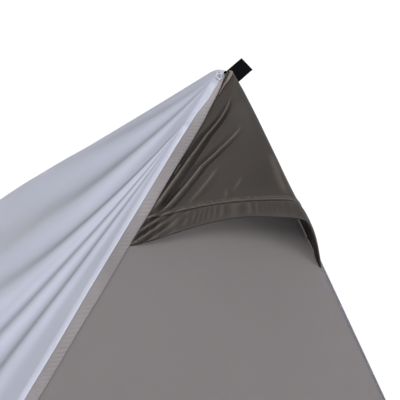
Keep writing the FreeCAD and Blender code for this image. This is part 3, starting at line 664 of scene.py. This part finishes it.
def hood_surface(across, share):
    """Hood at the vent end. across runs from the strip side to the free side, share down its seams.

    The section is 1 - fold, where fold = (hypot(u, e) - e) / (hypot(1, e) - e) and u is the distance
    from the crown. Its depth grows with (share + blunt) ** 0.74. Its hem arches by sin(pi across) ** 1.3
    up to the middle and stays high past the crown, as 1 - (2 across - 1) ** 4. Past the crown it swells
    sideways by belly = 1.2 mm * share ** 2 * sin(pi beyond), where beyond runs from the crown to the edge.
    """
    across, share = np.broadcast_arrays(across, share)
    drop_left = HOOD_APEX + (HOOD_DROPS[0] - HOOD_APEX) * share
    drop_right = HOOD_APEX + (HOOD_DROPS[1] - HOOD_APEX) * share
    roof_left = SPREAD * drop_left
    left = -(roof_left - np.minimum(strip_far(drop_left), roof_left + 4 * MM) - 0.5 * MM)
    right = SPREAD * drop_right - 2 * MM
    soft = 0.11 + 0.14 * (1 - share)
    beyond = (across - HOOD_CROWN) / (1 - HOOD_CROWN)
    from_crown = np.where(across < HOOD_CROWN, (across - HOOD_CROWN) / HOOD_CROWN, beyond)
    fold = (np.hypot(from_crown, soft) - soft) / (np.hypot(1, soft) - soft)
    swell = ((np.clip(share, 0, 1) + HOOD_BLUNT) / (1 + HOOD_BLUNT)) ** 0.74
    depth = 0.5 * MM + (HOOD_DEPTH - 0.5 * MM) * np.sqrt(np.clip(share / 0.012, 0, 1)) * swell
    belly = 1.2 * MM * share ** 2 * np.sin(math.pi * np.clip(beyond, 0, 1))
    x = left + (right - left) * across + belly
    y = FACE - 0.8 * MM - depth * (1 - fold)
    arch = np.where(across < 0.5, np.clip(np.sin(math.pi * across), 0, 1) ** 1.3,
                    1 - np.clip(2 * across - 1, 0, 1) ** 4)
    rise = HOOD_RISE * share ** 2 * arch
    return np.stack([x, y, PEAK - drop_left - (drop_right - drop_left) * across + rise], -1)


def surface_normals(points):
    """Unit normals of a (rows, columns, 3) grid, from the cross product of its finite differences."""
    normals = np.cross(np.gradient(points, axis=0), np.gradient(points, axis=1))
    return normals / np.maximum(np.linalg.norm(normals, axis=-1, keepdims=True), 1e-12)


def hood_relief(across, share):
    """Sharp crests with a valley on each side, and painted light for the cloth's colour: a highlight on each
    crest and shade in its valleys.
    """
    relief = np.zeros(np.broadcast(across, share).shape)
    painted_crest_light = np.zeros_like(relief)
    for downs, places, width, height in HOOD_CREASES:
        line = np.interp(share, downs, places)
        fade = np.clip((share - downs[0]) / 0.05, 0, 1) * np.clip((downs[-1] + 0.02 - share) / 0.05, 0, 1)
        gap = (across - line) / width
        valleys = np.clip((share - downs[0]) / 0.16, 0, 1)
        dips = 0.75 * bump_line(gap, -3.0, 2.2) + 0.9 * bump_line(gap, 2.9, 1.8)
        relief += height * (np.exp(-np.abs(gap)) - valleys * dips) * fade
        # painted shade in the valleys on each side, painted highlight along the crest
        dark = 0.55 * bump_line(gap, 2.6, 1.9) + 0.5 * bump_line(gap, -3.2, 2.6)
        strength = fade * np.clip(height / (3 * MM), 0.35, 1)
        painted_crest_light += strength * (1.1 * bump_line(gap, -0.1, 0.9) - valleys * dark)
    return relief, painted_crest_light


def channel_line(across):
    """Share down the seams at which the hem channel is stitched."""
    return 0.864 + 0.022 * bump_line(across, 0.42, 0.2)


def edge_line(across):
    """Share down the seams at which the hem's lower edge is stitched."""
    return np.full_like(across, 0.988)


def hood_points(across, share):
    """Finished hood: its surface moved along its normals by creases, channel, puckers and gathers, with the
    painted highlight and shade that go with them.
    """
    base = hood_surface(across, share)
    normals = surface_normals(base)
    normals = normals * np.where(normals[..., 1:2] > 0, -1, 1)
    line = channel_line(across)
    below_line = (share - line) * SEAM_LENGTH
    above = np.clip((line - share) * SEAM_LENGTH / (12 * MM), 0, 1)
    inside = np.clip((share - line) / (1 - line), 0, 1)
    crease, painted_shading = hood_relief(across, share)
    slack = np.sin(across * 190 + 5 * np.sin(across * 23)) * (0.35 + 0.65 * (across < 0.5))
    offset = crease * above ** 0.5
    offset = offset + 2.0 * MM * np.sin(math.pi * inside) ** 0.6
    offset = offset + 0.75 * MM * slack * np.sin(math.pi * inside) * np.exp(-inside * 1.2)
    offset = offset - 2.3 * MM * bump_line(below_line, 0, 1.5 * MM)
    offset = offset + 1.2 * MM * (1 + 0.5 * slack) * bump_line(below_line, -4.5 * MM, 3 * MM)
    gather = bump_line(across, 0.02, 0.12) * np.clip((share - 0.8) / 0.1, 0, 1)
    offset = offset + 2.4 * MM * gather * np.sin((share * 1.0 + across * 0.9) * 95)
    # painted light and shade on the slack ripples, a dark line of painted shade under the channel stitching,
    # a painted highlight above it, and light and shade on the gathers
    painted_shading = painted_shading * above + 0.2 * slack * np.sin(math.pi * inside)
    painted_shading = painted_shading - 0.9 * bump_line(below_line, 0.5 * MM, 1.4 * MM)
    painted_shading = painted_shading + 0.6 * bump_line(below_line, -2.4 * MM, 1.0 * MM)
    painted_shading = painted_shading + gather * np.sin((share + across * 0.9) * 95 + 0.8) * 0.8
    pinned = np.clip(np.minimum(across, 1 - across) / 0.012, 0, 1) * np.clip(share / 0.08, 0, 1)
    return base + normals * (offset * pinned)[..., None], normals, painted_shading


# hem of the hood, rolled round and up inside the channel: depths behind its face and rises, in mm
HEM_TURN = ((0.5, -0.7), (1.6, -1.0), (2.8, -0.5), (3.3, 2.0), (3.4, 9.0), (2.2, 19.0))
BONING_DEPTH, BONING_RISES = 1.9, (5.0, 10.5, 16.0)


def hood_inside(across, depth, rise):
    """Row of points a depth inside the hood's face and a rise above its lower edge, both in mm."""
    rows = hood_surface(across, 1 - np.array([[rise - 0.5], [rise], [rise + 0.5]]) * MM / SEAM_LENGTH)
    normal = surface_normals(rows)[1]
    return rows[1] - normal * np.where(normal[:, 1:2] > 0, -1, 1) * depth * MM


def hood_stitches(end, label, line):
    """Row of stitches along the hood, at the share down its seams that line gives for each share across."""
    across = np.linspace(0.02, 0.985, 500)
    strip = np.linspace(-0.004, 0.004, 5)[:, None] + line(across)[None, :]
    rows, normals, _ = hood_points(across[None, :], strip)
    row = stitch_row(f"{END_NAMES[end]}_hood_{label}_stitches", at_end(rows[2], end), at_end(normals[2], end),
                     pitch=3.4 * MM)
    return dress(row, finish_named("thread_dark"))


def make_hood(end):
    """Hood sheet with its stitched hem channel, hem turned up inside, and the boning in the channel."""
    name = END_NAMES[end] + "_hood"
    across = np.concatenate([spaced(0, 0.5, 170, 1.2), np.linspace(0.5, 1, 91)[1:]])[None, :]
    share = np.concatenate([np.linspace(0.0, HEM_SHARE, 110)[:-1], np.linspace(HEM_SHARE, 1.0, 42)])[:, None]
    points, _, painted_shading = hood_points(across, share)
    turned_in = [hood_inside(across, depth, rise) for depth, rise in HEM_TURN]
    points = np.concatenate([points, np.stack(turned_in)], 0)
    # the hem turned up inside is painted dark, as shade inside the hood
    painted_shading = np.concatenate([painted_shading, np.full((len(turned_in), painted_shading.shape[1]), -0.8)], 0)
    length = np.linspace(0, SEAM_LENGTH + 0.02, len(points))[:, None]
    uv = np.stack(np.broadcast_arrays(across * 0.36, length), -1)
    stitches = [hood_stitches(end, "channel", channel_line), hood_stitches(end, "edge", edge_line)]
    piece = cloth(name + "_cloth", at_end(points, end), uv, wall=0.5 * MM, fold=painted_shading)
    dress(piece, finish_named("hood_fabric"), replaces=(name,))
    boning = at_end(np.stack([hood_inside(across, BONING_DEPTH, rise) for rise in BONING_RISES]), end)
    spring = cloth(name + "_boning_strip", boning[:, 30:-40], uv[:3, 30:-40], wall=0.9 * MM)
    dress(spring, finish_named("spring_strip"), replaces=(name + "_boning",))
    return piece


def make_hood_binding(end):
    """Taupe binding rolled along the hood's strip-side seam at the peak: a tube round a path."""
    share = np.linspace(0.0, 0.145, 60)
    drops = (0, 0.047, 0.087, 0.117, 0.145)
    seam = hood_surface(np.interp(share, drops, (0.5, 0.26, 0.106, 0.059, 0.03)), share)
    radius = np.interp(share, drops, (2.6, 2.7, 1.5, 0.9, 0.4))[:, None] * MM
    angle = np.linspace(0, 2 * math.pi, 17)[None, :]
    points = np.stack([seam[:, None, 0] + radius * np.cos(angle),
                       seam[:, None, 1] - 1.2 * MM + radius * np.sin(angle),
                       seam[:, None, 2] + 0 * angle], -1)
    uv = np.stack(np.broadcast_arrays(angle * 3 * MM, share[:, None] * SEAM_LENGTH), -1)
    piece = cloth(END_NAMES[end] + "_hood_binding", at_end(points, end), uv, wall=0, merge=True)
    return dress(piece, finish_named("binding_tape"))


# ---- flat panels ----------------------------------------------------------------------------
def patch(name, corners, counts, finish, replaces, slack=1.0, body="tent", wall=0.6 * MM,
          shift=0.0):
    """Sheet between four corners: a bilinear surface with slack waves that die out at its edges.

    Corners go round the patch so that the outer face is to the left of corner 0 to corner 1 to corner 2.
    """
    a, b, c, d = (np.array(corner, float) for corner in corners)
    u = np.linspace(0, 1, counts[0])[:, None, None]
    v = np.linspace(0, 1, counts[1])[None, :, None]
    points = a * (1 - u) * (1 - v) + b * u * (1 - v) + c * u * v + d * (1 - u) * v
    normal = np.cross(c - a, d - b)
    normal /= np.linalg.norm(normal)
    width = max(np.linalg.norm(b - a), np.linalg.norm(c - d))
    height = max(np.linalg.norm(d - a), np.linalg.norm(c - b))
    s, t = u[..., 0] * width, v[..., 0] * height
    edge = (np.sin(math.pi * u) * np.sin(math.pi * v))[..., 0] ** 0.5
    wave = (np.sin(s * 9 + 2 * np.sin(t * 5)) + 0.6 * np.sin(t * 14 + 3 * np.sin(s * 6))
            + 0.4 * np.sin((s + t) * 27))
    points = points + (slack * MM * edge * wave + shift)[..., None] * normal
    uv = np.stack(np.broadcast_arrays(s, t), -1)
    piece = cloth(name, points, uv, wall=wall, merge=True)
    dress(piece, finish_named(finish), body=body, replaces=replaces)
    return piece


def make_gable_cloth(name, end, foot):
    """Gable sheet from its rounded top down to a foot height, with the vent opening left out."""
    vent_top, vent_base, vent_half = PEAK - MESH_HIGH.z, PEAK - MESH_LOW.z, MESH_HIGH.x
    top = PEAK - GABLE_HIGH.z + 12 * MM
    drops = np.concatenate([np.linspace(top, vent_top, 10)[:-1], np.linspace(vent_top, vent_base, 18)[:-1],
                            spaced(vent_base, PEAK - foot, max(8, int((PEAK - foot - vent_base) / 0.012)))])
    half = SPREAD * drops - EDGE_GAP
    base_share = vent_half / (SPREAD * vent_base)
    share = np.where(drops < vent_top, 0.5 * (vent_top - drops) / vent_top,
                     np.where(drops < vent_base,
                              vent_half * (drops - vent_top) / (vent_base - vent_top) / np.maximum(half, MM),
                              base_share))
    side = np.linspace(0, 1, 19)
    middle = np.linspace(-1, 1, 23)
    outer_left = -1 + (1 - share[:, None]) * side[None, :-1]
    centre = share[:, None] * middle[None, :]
    outer_right = share[:, None] + (1 - share[:, None]) * side[None, 1:]
    place = np.concatenate([outer_left, centre, outer_right], 1)
    x = place * half[:, None]
    z = np.broadcast_to((PEAK - drops)[:, None], x.shape)
    edge = np.clip((1 - np.abs(place)) * 4, 0, 1) * np.clip((drops[:, None] - vent_base) / 0.25, 0, 1)
    calm = np.clip((PEAK - foot - drops[:, None]) / 0.1, 0, 1)
    wave = 2.0 * np.sin(x * 8 + 1.2) * np.sin(z * 5) + 0.8 * np.sin(x * 21 + 2 * np.sin(z * 9))
    y = FACE + 0.2 * MM - edge * calm * wave * MM * 0.8
    points = np.stack([x, y, z], -1)
    in_vent = (drops[:-1] >= vent_top - 1e-6) & (drops[1:] <= vent_base + 1e-6)
    column = np.arange(place.shape[1] - 1)
    in_middle = (column >= len(side) - 1) & (column < len(side) + len(middle) - 2)
    keep = ~(in_vent[:, None] & in_middle[None, :])
    uv = np.stack([x, z], -1)
    piece = cloth(name + "_cloth", at_end(points, end), uv, keep=keep, merge=True)
    dress(piece, finish_named("gable_fabric"), replaces=(name,))
    return piece


def make_vent(end):
    """Insect mesh in a gable's vent opening, with a bound edge."""
    y = end * (HALF_LENGTH - 1.1 * MM)
    top, left, right = ((0, MESH_HIGH.z), (-MESH_HIGH.x, MESH_LOW.z), (MESH_HIGH.x, MESH_LOW.z))
    corners = [(x, y, z) for x, z in (left, right, top, top)]
    name = END_NAMES[end] + "_mesh"
    piece = patch(name + "_cloth", corners, (30, 24), "vent_mesh", (name,), slack=0.3, wall=0)
    loop = np.array([left, right, top, left])
    steps = np.linspace(0, 3, 241)
    path = np.stack([np.interp(steps, range(4), loop[:, 0]), np.full(241, end * (HALF_LENGTH + 0.5 * MM)),
                     np.interp(steps, range(4), loop[:, 1])], 1)
    centre = np.array([0, path[0, 1], (2 * left[1] + top[1]) / 3])
    across = np.linspace(-1, 1, 5)[:, None, None]
    spread = (path - centre) / np.linalg.norm(path - centre, axis=1, keepdims=True)
    half_tape = 5 * MM
    band = path[None] + spread[None] * across * half_tape
    band[..., 1] += end * 0.5 * MM * (1 - across[..., 0] ** 2)
    length = distances(path)
    uv = np.stack(np.broadcast_arrays(across[..., 0] * half_tape, length[None, :]), -1)
    tape = cloth(END_NAMES[end] + "_vent_binding", band, uv, wall=0.7 * MM, flip=end > 0)
    dress(tape, finish_named("binding_tape"))
    return piece


def make_door_gable():
    """Door gable: its top with a vent, two slanted side strips and the sill."""
    make_gable_cloth("door_gable_top", 1, DOOR_TOP)
    y = HALF_LENGTH
    for name, side in (("door_gable_left", -1), ("door_gable_right", 1)):
        foot, top = SILL_HIGH.z, DOOR_TOP
        outer_foot, outer_top = roof_x(foot) - EDGE_GAP, roof_x(top) - EDGE_GAP
        corners = [(side * SPREAD * (top - foot), y, foot), (side * outer_foot, y, foot),
                   (side * outer_top, y, top), (0, y, top)]
        if side > 0:
            corners = [corners[1], corners[0], corners[3], corners[2]]
        patch(name + "_cloth", corners, (26, 70), "gable_fabric", (name,), slack=0.8)
    foot, top = SILL_LOW.z, SILL_HIGH.z
    corners = [(roof_x(foot) - 2 * MM, y, foot), (-roof_x(foot) + 2 * MM, y, foot),
               (-roof_x(top) + EDGE_GAP, y, top), (roof_x(top) - EDGE_GAP, y, top)]
    patch("door_sill_cloth", corners, (110, 16), "gable_fabric", ("door_sill",), slack=0.5)


# halves of a zip: body, both edges of the tape and the middle of the teeth, in mm from the line along
# the zip's foot towards the door, then how many pitches late the teeth start
ZIP_HALVES = (("fixed", "tent", -9.0, 2.4, 2.35, 0.0), ("moving", "door", 3.6, 15.0, 3.65, 0.5))
TOOTH_PITCH = 3.2 * MM


def make_zip(name, foot, along, over, length):
    """Tapes and teeth of one zip, from its foot, along its length and over its width."""
    for half, body, near, far, middle, late in ZIP_HALVES:
        corners = [foot + over * near * MM, foot + over * near * MM + along * length,
                   foot + over * far * MM + along * length, foot + over * far * MM]
        if name == "base_zip":
            corners = corners[::-1]
        node = name + "_" + half
        patch(node + "_tape", corners, (90, 5), "zip_tape", (node,), slack=0.1, body=body,
              shift=0.9 * MM, wall=0.7 * MM)
        places = (np.arange(int(length / TOOTH_PITCH)) + late) * TOOTH_PITCH + 2 * MM
        centres = foot + over * middle * MM + along * places[:, None] + np.array([0, 1.0, 0]) * MM
        teeth = capsules(node + "_teeth", centres, np.tile(over, (len(centres), 1)),
                         np.tile([0.0, 1.0, 0.0], (len(centres), 1)), 2.2 * MM, 0.62 * MM, 0.8 * MM)
        dress(teeth, finish_named("zip_coil"), body=body)


def make_door():
    """Door panel, and both halves of the side zip and the base zip."""
    y = HALF_LENGTH
    low, high = DOOR_LOW, DOOR_HIGH
    top_x = low.x + SPREAD * (high.z - low.z)
    corners = [(high.x, y, low.z), (low.x, y, low.z), (top_x, y, high.z), (top_x, y, high.z)]
    patch("door_panel_cloth", corners, (80, 80), "gable_fabric", ("door_panel",), slack=1.8, body="door")
    side_low, side_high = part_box("side_zip_fixed")
    base_low, base_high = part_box("base_zip_fixed")
    slope = np.array([-SPREAD, 0, 1.0]) / SLANT
    square = np.array([-1, 0, -SPREAD]) / SLANT
    make_zip("side_zip", np.array([side_high.x, y, side_low.z]), slope, square,
             (side_high.z - side_low.z) * SLANT)
    make_zip("base_zip", np.array([base_high.x, y, base_low.z]), np.array([-1.0, 0, 0]),
             np.array([0, 0, 1.0]), base_high.x - base_low.x)


def make_body():
    """Inner walls, floor sheet and its raised rim."""
    wall_end = WALL_HIGH.y
    for side in (-1, 1):
        name = "body_wall_right" if side > 0 else "body_wall_left"
        corners = [(side * WALL_HIGH.x, -wall_end, WALL_LOW.z), (side * WALL_HIGH.x, wall_end, WALL_LOW.z),
                   (0, wall_end, WALL_HIGH.z), (0, -wall_end, WALL_HIGH.z)]
        if side < 0:
            corners = [corners[1], corners[0], corners[3], corners[2]]
        patch(name + "_cloth", corners, (120, 60), "body_fabric", (name,), slack=1.6, wall=0.5 * MM)
    z = FLOOR_HIGH.z - 0.9 * MM
    corners = [(FLOOR_LOW.x, FLOOR_LOW.y, z), (FLOOR_HIGH.x, FLOOR_LOW.y, z),
               (FLOOR_HIGH.x, FLOOR_HIGH.y, z), (FLOOR_LOW.x, FLOOR_HIGH.y, z)]
    patch("floor_cloth", corners, (90, 140), "floor_fabric", ("floor_sheet",), slack=0.25,
          wall=0.9 * MM)
    low, high = RIM_LOW, RIM_HIGH
    inset = 3 * MM
    lean = SPREAD * (high.z - low.z)
    x, y = high.x - inset, high.y - inset
    foot = [(-x, -y), (x, -y), (x, y), (-x, y)]
    top = [(-x + lean, -y), (x - lean, -y), (x - lean, y), (-x + lean, y)]
    for index in range(4):
        after = (index + 1) % 4
        corners = [(*foot[index], low.z), (*foot[after], low.z), (*top[after], high.z), (*top[index], high.z)]
        patch(f"floor_rim_cloth_{index}", corners, (90, 12), "floor_fabric", ("floor_rim",), slack=0.4,
              wall=0.7 * MM)


def ribbon(name, path, across, node, hole=None):
    """Black webbing along a path of points, across a width vector. hole is a centre and radius left out."""
    side = np.linspace(-0.5, 0.5, 21)[:, None, None]
    points = path[None] + side * np.asarray(across)[None, None]
    width = np.linalg.norm(across)
    length = distances(path)
    uv = np.stack(np.broadcast_arrays(side[..., 0] * width, length[None, :]), -1)
    keep = None
    if hole:
        middles = (points[:-1, :-1] + points[1:, 1:]) / 2
        keep = np.linalg.norm(middles - hole[0], axis=-1) > hole[1]
    piece = cloth(name, points, uv, wall=1.1 * MM, keep=keep)
    dress(piece, finish_named("black_webbing"), replaces=(node,))
    return piece


def make_apex_loops():
    """Folded webbing tabs beside each end of the ridge: out at 45 degrees, round the tip and back."""
    low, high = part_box("apex_loops")
    run = math.sqrt(0.5)
    skew = math.radians(35)
    across = WEBBING_WIDTH * np.array([math.cos(skew), 0, -math.sin(skew)])
    tip = np.array([high.x - WEBBING_WIDTH * run, 0, high.z]) + across / 2
    layer, tip_back = 0.75 * MM, 1 * MM
    middle = low.y + 1.25 * MM
    turn = np.linspace(-math.pi / 2, math.pi / 2, 9)
    straight = np.linspace(62 * MM, tip_back, 40)
    back = np.concatenate([straight, tip_back - layer * np.cos(turn), straight[::-1]])
    deep = np.concatenate([0 * straight - layer, layer * np.sin(turn), 0 * straight + layer])
    path = np.stack([tip[0] - back * run, middle + deep, tip[2] - back * run], 1)
    for end in (-1, 1):
        ribbon(f"apex_loop_{END_NAMES[end]}", at_end(path, end), at_end(across, end), "apex_loops")


def make_corners():
    """Corner patches and peg tongues on the ground, fly straps and their tails, four of each."""
    patch_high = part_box("corner_patches")[1]
    tongue_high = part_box("peg_tongues")[1]
    strap_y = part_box("fly_straps")[1].y - STRAP_WIDTH / 2
    middle_y = tongue_high.y - WEBBING_WIDTH / 2
    width, length = 38 * MM, 62 * MM
    eyelet_radius, overlap, dip = 6.6 * MM, 14 * MM, 0.3 * MM
    right, left, back, z = patch_high.x, patch_high.x - width, patch_high.y, patch_high.z
    patch_corners = ((left, back - length, z), (right, back - length, z), (right, back, z), (left, back, z))
    tongue = np.linspace((right - overlap, middle_y, z), (tongue_high.x, middle_y, z), 40)
    tongue[:, 2] += dip * np.sin(np.linspace(0, math.pi, 40)) - dip
    eyelet = np.array([tongue_high.x - WEBBING_WIDTH / 2, middle_y, z])
    for index, (sx, sy) in enumerate(((-1, -1), (1, -1), (1, 1), (-1, 1))):
        sign = np.array([sx, sy, 1.0])
        corners = [np.array(corner) * sign for corner in patch_corners]
        patch(f"corner_patch_{index}", corners if sx * sy > 0 else corners[::-1], (12, 16), "black_webbing",
              ("corner_patches",), slack=0.15, wall=1.2 * MM)
        ribbon(f"peg_tongue_{index}", tongue * sign, np.array([0, -WEBBING_WIDTH * sx, 0]), "peg_tongues",
               hole=(eyelet * sign, eyelet_radius))
        for name in ("fly_strap", "strap_tail"):
            low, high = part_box(name + "s")
            x = high.x - 0.8 * MM
            foot = np.array([x, strap_y, low.z])
            top = np.array([x - (high.z - low.z) * SPREAD, strap_y, high.z])
            ribbon(f"{name}_{index}", np.linspace(foot, top, 30) * sign, np.array([0, STRAP_WIDTH * sx, 0]),
                   name + "s")


# ---- settings -------------------------------------------------------------------------------
class TentLooks(bpy.types.PropertyGroup):
    fly_colour: bpy.props.FloatVectorProperty(name="Fly colour", description="Silver coat of the fly",
                                              default=(0.405, 0.415, 0.49), subtype="COLOR", min=0, max=1)
    tape_colour: bpy.props.FloatVectorProperty(name="Hem colour", description="Folded hem of the fly",
                                               default=(0.205, 0.19, 0.195), subtype="COLOR", min=0, max=1)
    gable_colour: bpy.props.FloatVectorProperty(name="Gable colour", description="Gable cloth",
                                                default=(0.145, 0.132, 0.132), subtype="COLOR", min=0, max=1)
    hood_colour: bpy.props.FloatVectorProperty(name="Hood colour", description="Glossy cloth of the hoods",
                                               default=(0.032, 0.0255, 0.0215), subtype="COLOR", min=0, max=1)
    body_colour: bpy.props.FloatVectorProperty(name="Body colour", description="Inner walls",
                                               default=(0.24, 0.22, 0.20), subtype="COLOR", min=0, max=1)
    floor_colour: bpy.props.FloatVectorProperty(name="Floor colour", description="Floor sheet and rim",
                                                default=(0.05, 0.055, 0.06), subtype="COLOR", min=0, max=1)


class TentView(bpy.types.PropertyGroup):
    lens: bpy.props.FloatProperty(name="Lens", description="Focal length", default=95.4, unit="CAMERA")
    turn: bpy.props.FloatProperty(name="Turn", description="Camera turned right of the ridge line",
                                  default=math.radians(32.687), subtype="ANGLE")
    tilt: bpy.props.FloatProperty(name="Tilt", description="Camera tilted up", default=math.radians(16.653),
                                  subtype="ANGLE")
    offset: bpy.props.FloatVectorProperty(name="Offset", description="Camera from the peak of the vent gable",
                                          default=(-0.8197, -1.2078, -0.6554), subtype="TRANSLATION")


# ---- stage ----------------------------------------------------------------------------------
DOME_RADIUS, FLOOR_RADIUS = 14, 13.5
# name, place, target, width of the disk in metres, power in watts
LIGHTS = (("key", (-2.6, -4.4, 1.15), (-0.2, -0.9, 1.05), 1.3, 105),
          ("top", (0.6, -1.0, 4.6), (0, -0.3, 0.6), 3.0, 60),
          ("fill", (3.0, -3.6, 0.9), (0, -1.0, 1.0), 2.0, 75),
          ("back", (1.5, 4.6, 2.6), (0, 1.0, 0.8), 2.6, 90))


def soft_light(name, place, target, size, power):
    """Disk light at a place, turned to a target."""
    light = bpy.data.lights.new(name, "AREA")
    light.shape = "DISK"
    light.size = size
    light.energy = power
    lamp = bpy.data.objects.new(name, light)
    bpy.context.scene.collection.objects.link(lamp)
    lamp.location = place
    lamp.rotation_euler = (Vector(target) - Vector(place)).to_track_quat("-Z", "Y").to_euler()


# ---- operators ------------------------------------------------------------------------------
class TENT_OT_stage(bpy.types.Operator):
    """Camera, soft lights, pale floor and a white surround"""
    bl_idname = "tent.stage"
    bl_label = "Stage"

    def execute(self, context):
        view = context.scene.tent_view
        camera = bpy.data.objects.new("camera", bpy.data.cameras.new("camera"))
        context.scene.collection.objects.link(camera)
        camera.data.lens = view.lens
        camera.data.sensor_width = 36
        camera.data.clip_end = 100
        camera.location = (view.offset[0], FACE + view.offset[1], PEAK + view.offset[2])
        camera.rotation_euler = (math.pi / 2 + view.tilt, 0, -view.turn)
        context.scene.camera = camera
        context.scene.view_settings.view_transform = "Standard"
        world = bpy.data.worlds.new("studio")
        world.use_nodes = True
        world.node_tree.nodes["Background"].inputs["Color"].default_value = (0.93, 0.96, 1.0, 1)
        world.node_tree.nodes["Background"].inputs["Strength"].default_value = 0.55
        context.scene.world = world
        for light in LIGHTS:
            soft_light(*light)
        angle = np.linspace(0, 2 * math.pi, 97)[None, :]
        rise = np.linspace(0, math.pi, 49)[:, None]
        points = DOME_RADIUS * np.stack(np.broadcast_arrays(
            np.cos(angle) * np.sin(rise), np.sin(angle) * np.sin(rise), np.cos(rise)), -1)
        dome = build_mesh("surround", points.reshape(-1, 3), grid_quads(49, 97))
        glow = bpy.data.materials.new("surround_white")
        glow.use_nodes = True
        glow.node_tree.nodes.clear()
        emission = glow.node_tree.nodes.new("ShaderNodeEmission")
        emission.inputs["Strength"].default_value = 1.05
        output = glow.node_tree.nodes.new("ShaderNodeOutputMaterial")
        glow.node_tree.links.new(emission.outputs[0], output.inputs[0])
        dome.data.materials.append(glow)
        dome.visible_diffuse = dome.visible_glossy = dome.visible_shadow = False
        dome.visible_transmission = False
        radius = spaced(0, FLOOR_RADIUS, 30, 1.5)[:, None]
        ring = np.stack(np.broadcast_arrays(radius * np.cos(angle), radius * np.sin(angle), 0 * angle), -1)
        floor = build_mesh("floor", ring.reshape(-1, 3), grid_quads(30, 97))
        floor.data.materials.append(moulded("floor_pale", (0.8, 0.8, 0.79), 0.9, grain=0.0))
        return {"FINISHED"}


class TENT_OT_fly(bpy.types.Operator):
    """Both silver panels of the fly, their hem strips and studs"""
    bl_idname = "tent.fly"
    bl_label = "Fly"

    def execute(self, context):
        for side in (-1, 1):
            make_fly_panel(side)
        for end in (-1, 1):
            make_hem_strip(end)
        make_studs()
        return {"FINISHED"}


class TENT_OT_hoods(bpy.types.Operator):
    """Both vent hoods with their stitched hem channels and bindings"""
    bl_idname = "tent.hoods"
    bl_label = "Hoods"

    def execute(self, context):
        for end in (-1, 1):
            make_hood(end)
            make_hood_binding(end)
        return {"FINISHED"}


class TENT_OT_gables(bpy.types.Operator):
    """Vent gable, door gable and both mesh vents"""
    bl_idname = "tent.gables"
    bl_label = "Gables"

    def execute(self, context):
        make_gable_cloth("vent_gable", -1, GABLE_LOW.z)
        make_door_gable()
        for end in (-1, 1):
            make_vent(end)
        return {"FINISHED"}


class TENT_OT_door(bpy.types.Operator):
    """Door panel and its two zips"""
    bl_idname = "tent.door"
    bl_label = "Door"

    def execute(self, context):
        make_door()
        return {"FINISHED"}


class TENT_OT_body(bpy.types.Operator):
    """Inner walls, floor and its rim"""
    bl_idname = "tent.body"
    bl_label = "Body"

    def execute(self, context):
        make_body()
        return {"FINISHED"}


class TENT_OT_webbing(bpy.types.Operator):
    """Apex tabs, corner patches, peg tongues and straps"""
    bl_idname = "tent.webbing"
    bl_label = "Webbing"

    def execute(self, context):
        make_apex_loops()
        make_corners()
        return {"FINISHED"}


class TENT_OT_finishes(bpy.types.Operator):
    """Finishes of the frame, fittings and every other CAD piece that stays in view"""
    bl_idname = "tent.finishes"
    bl_label = "Finishes"

    def execute(self, context):
        slots = {part["node"]: part["material_slot"] for part in frame["record"]["subparts"]}
        for name, node in frame["nodes"].items():
            if node.hide_render:
                continue
            node.data.materials.clear()
            node.data.materials.append(finish_named(slots[name]))
        return {"FINISHED"}


class TENT_PT_panel(bpy.types.Panel):
    """Buttons that build the tent's looks"""
    bl_idname = "TENT_PT_panel"
    bl_label = "Ridge tent"
    bl_space_type = "VIEW_3D"
    bl_region_type = "UI"
    bl_category = "Tent"

    def draw(self, context):
        for name in TentLooks.__annotations__:
            self.layout.prop(context.scene.tent_looks, name)
        for name in TentView.__annotations__:
            self.layout.prop(context.scene.tent_view, name)
        for operator in OPERATORS:
            self.layout.operator(operator.bl_idname)


OPERATORS = (TENT_OT_stage, TENT_OT_fly, TENT_OT_hoods, TENT_OT_gables, TENT_OT_door, TENT_OT_body,
             TENT_OT_webbing, TENT_OT_finishes)
CLASSES = (TentLooks, TentView) + OPERATORS + (TENT_PT_panel,)


def register():
    for item in CLASSES:
        bpy.utils.register_class(item)
    bpy.types.Scene.tent_looks = bpy.props.PointerProperty(type=TentLooks)
    bpy.types.Scene.tent_view = bpy.props.PointerProperty(type=TentView)


def unregister():
    del bpy.types.Scene.tent_view
    del bpy.types.Scene.tent_looks
    for item in reversed(CLASSES):
        bpy.utils.unregister_class(item)


def main():
    register()
    for operator in OPERATORS:
        getattr(bpy.ops.tent, operator.bl_idname.split(".")[1])()


if __name__ == "__main__":
    main()
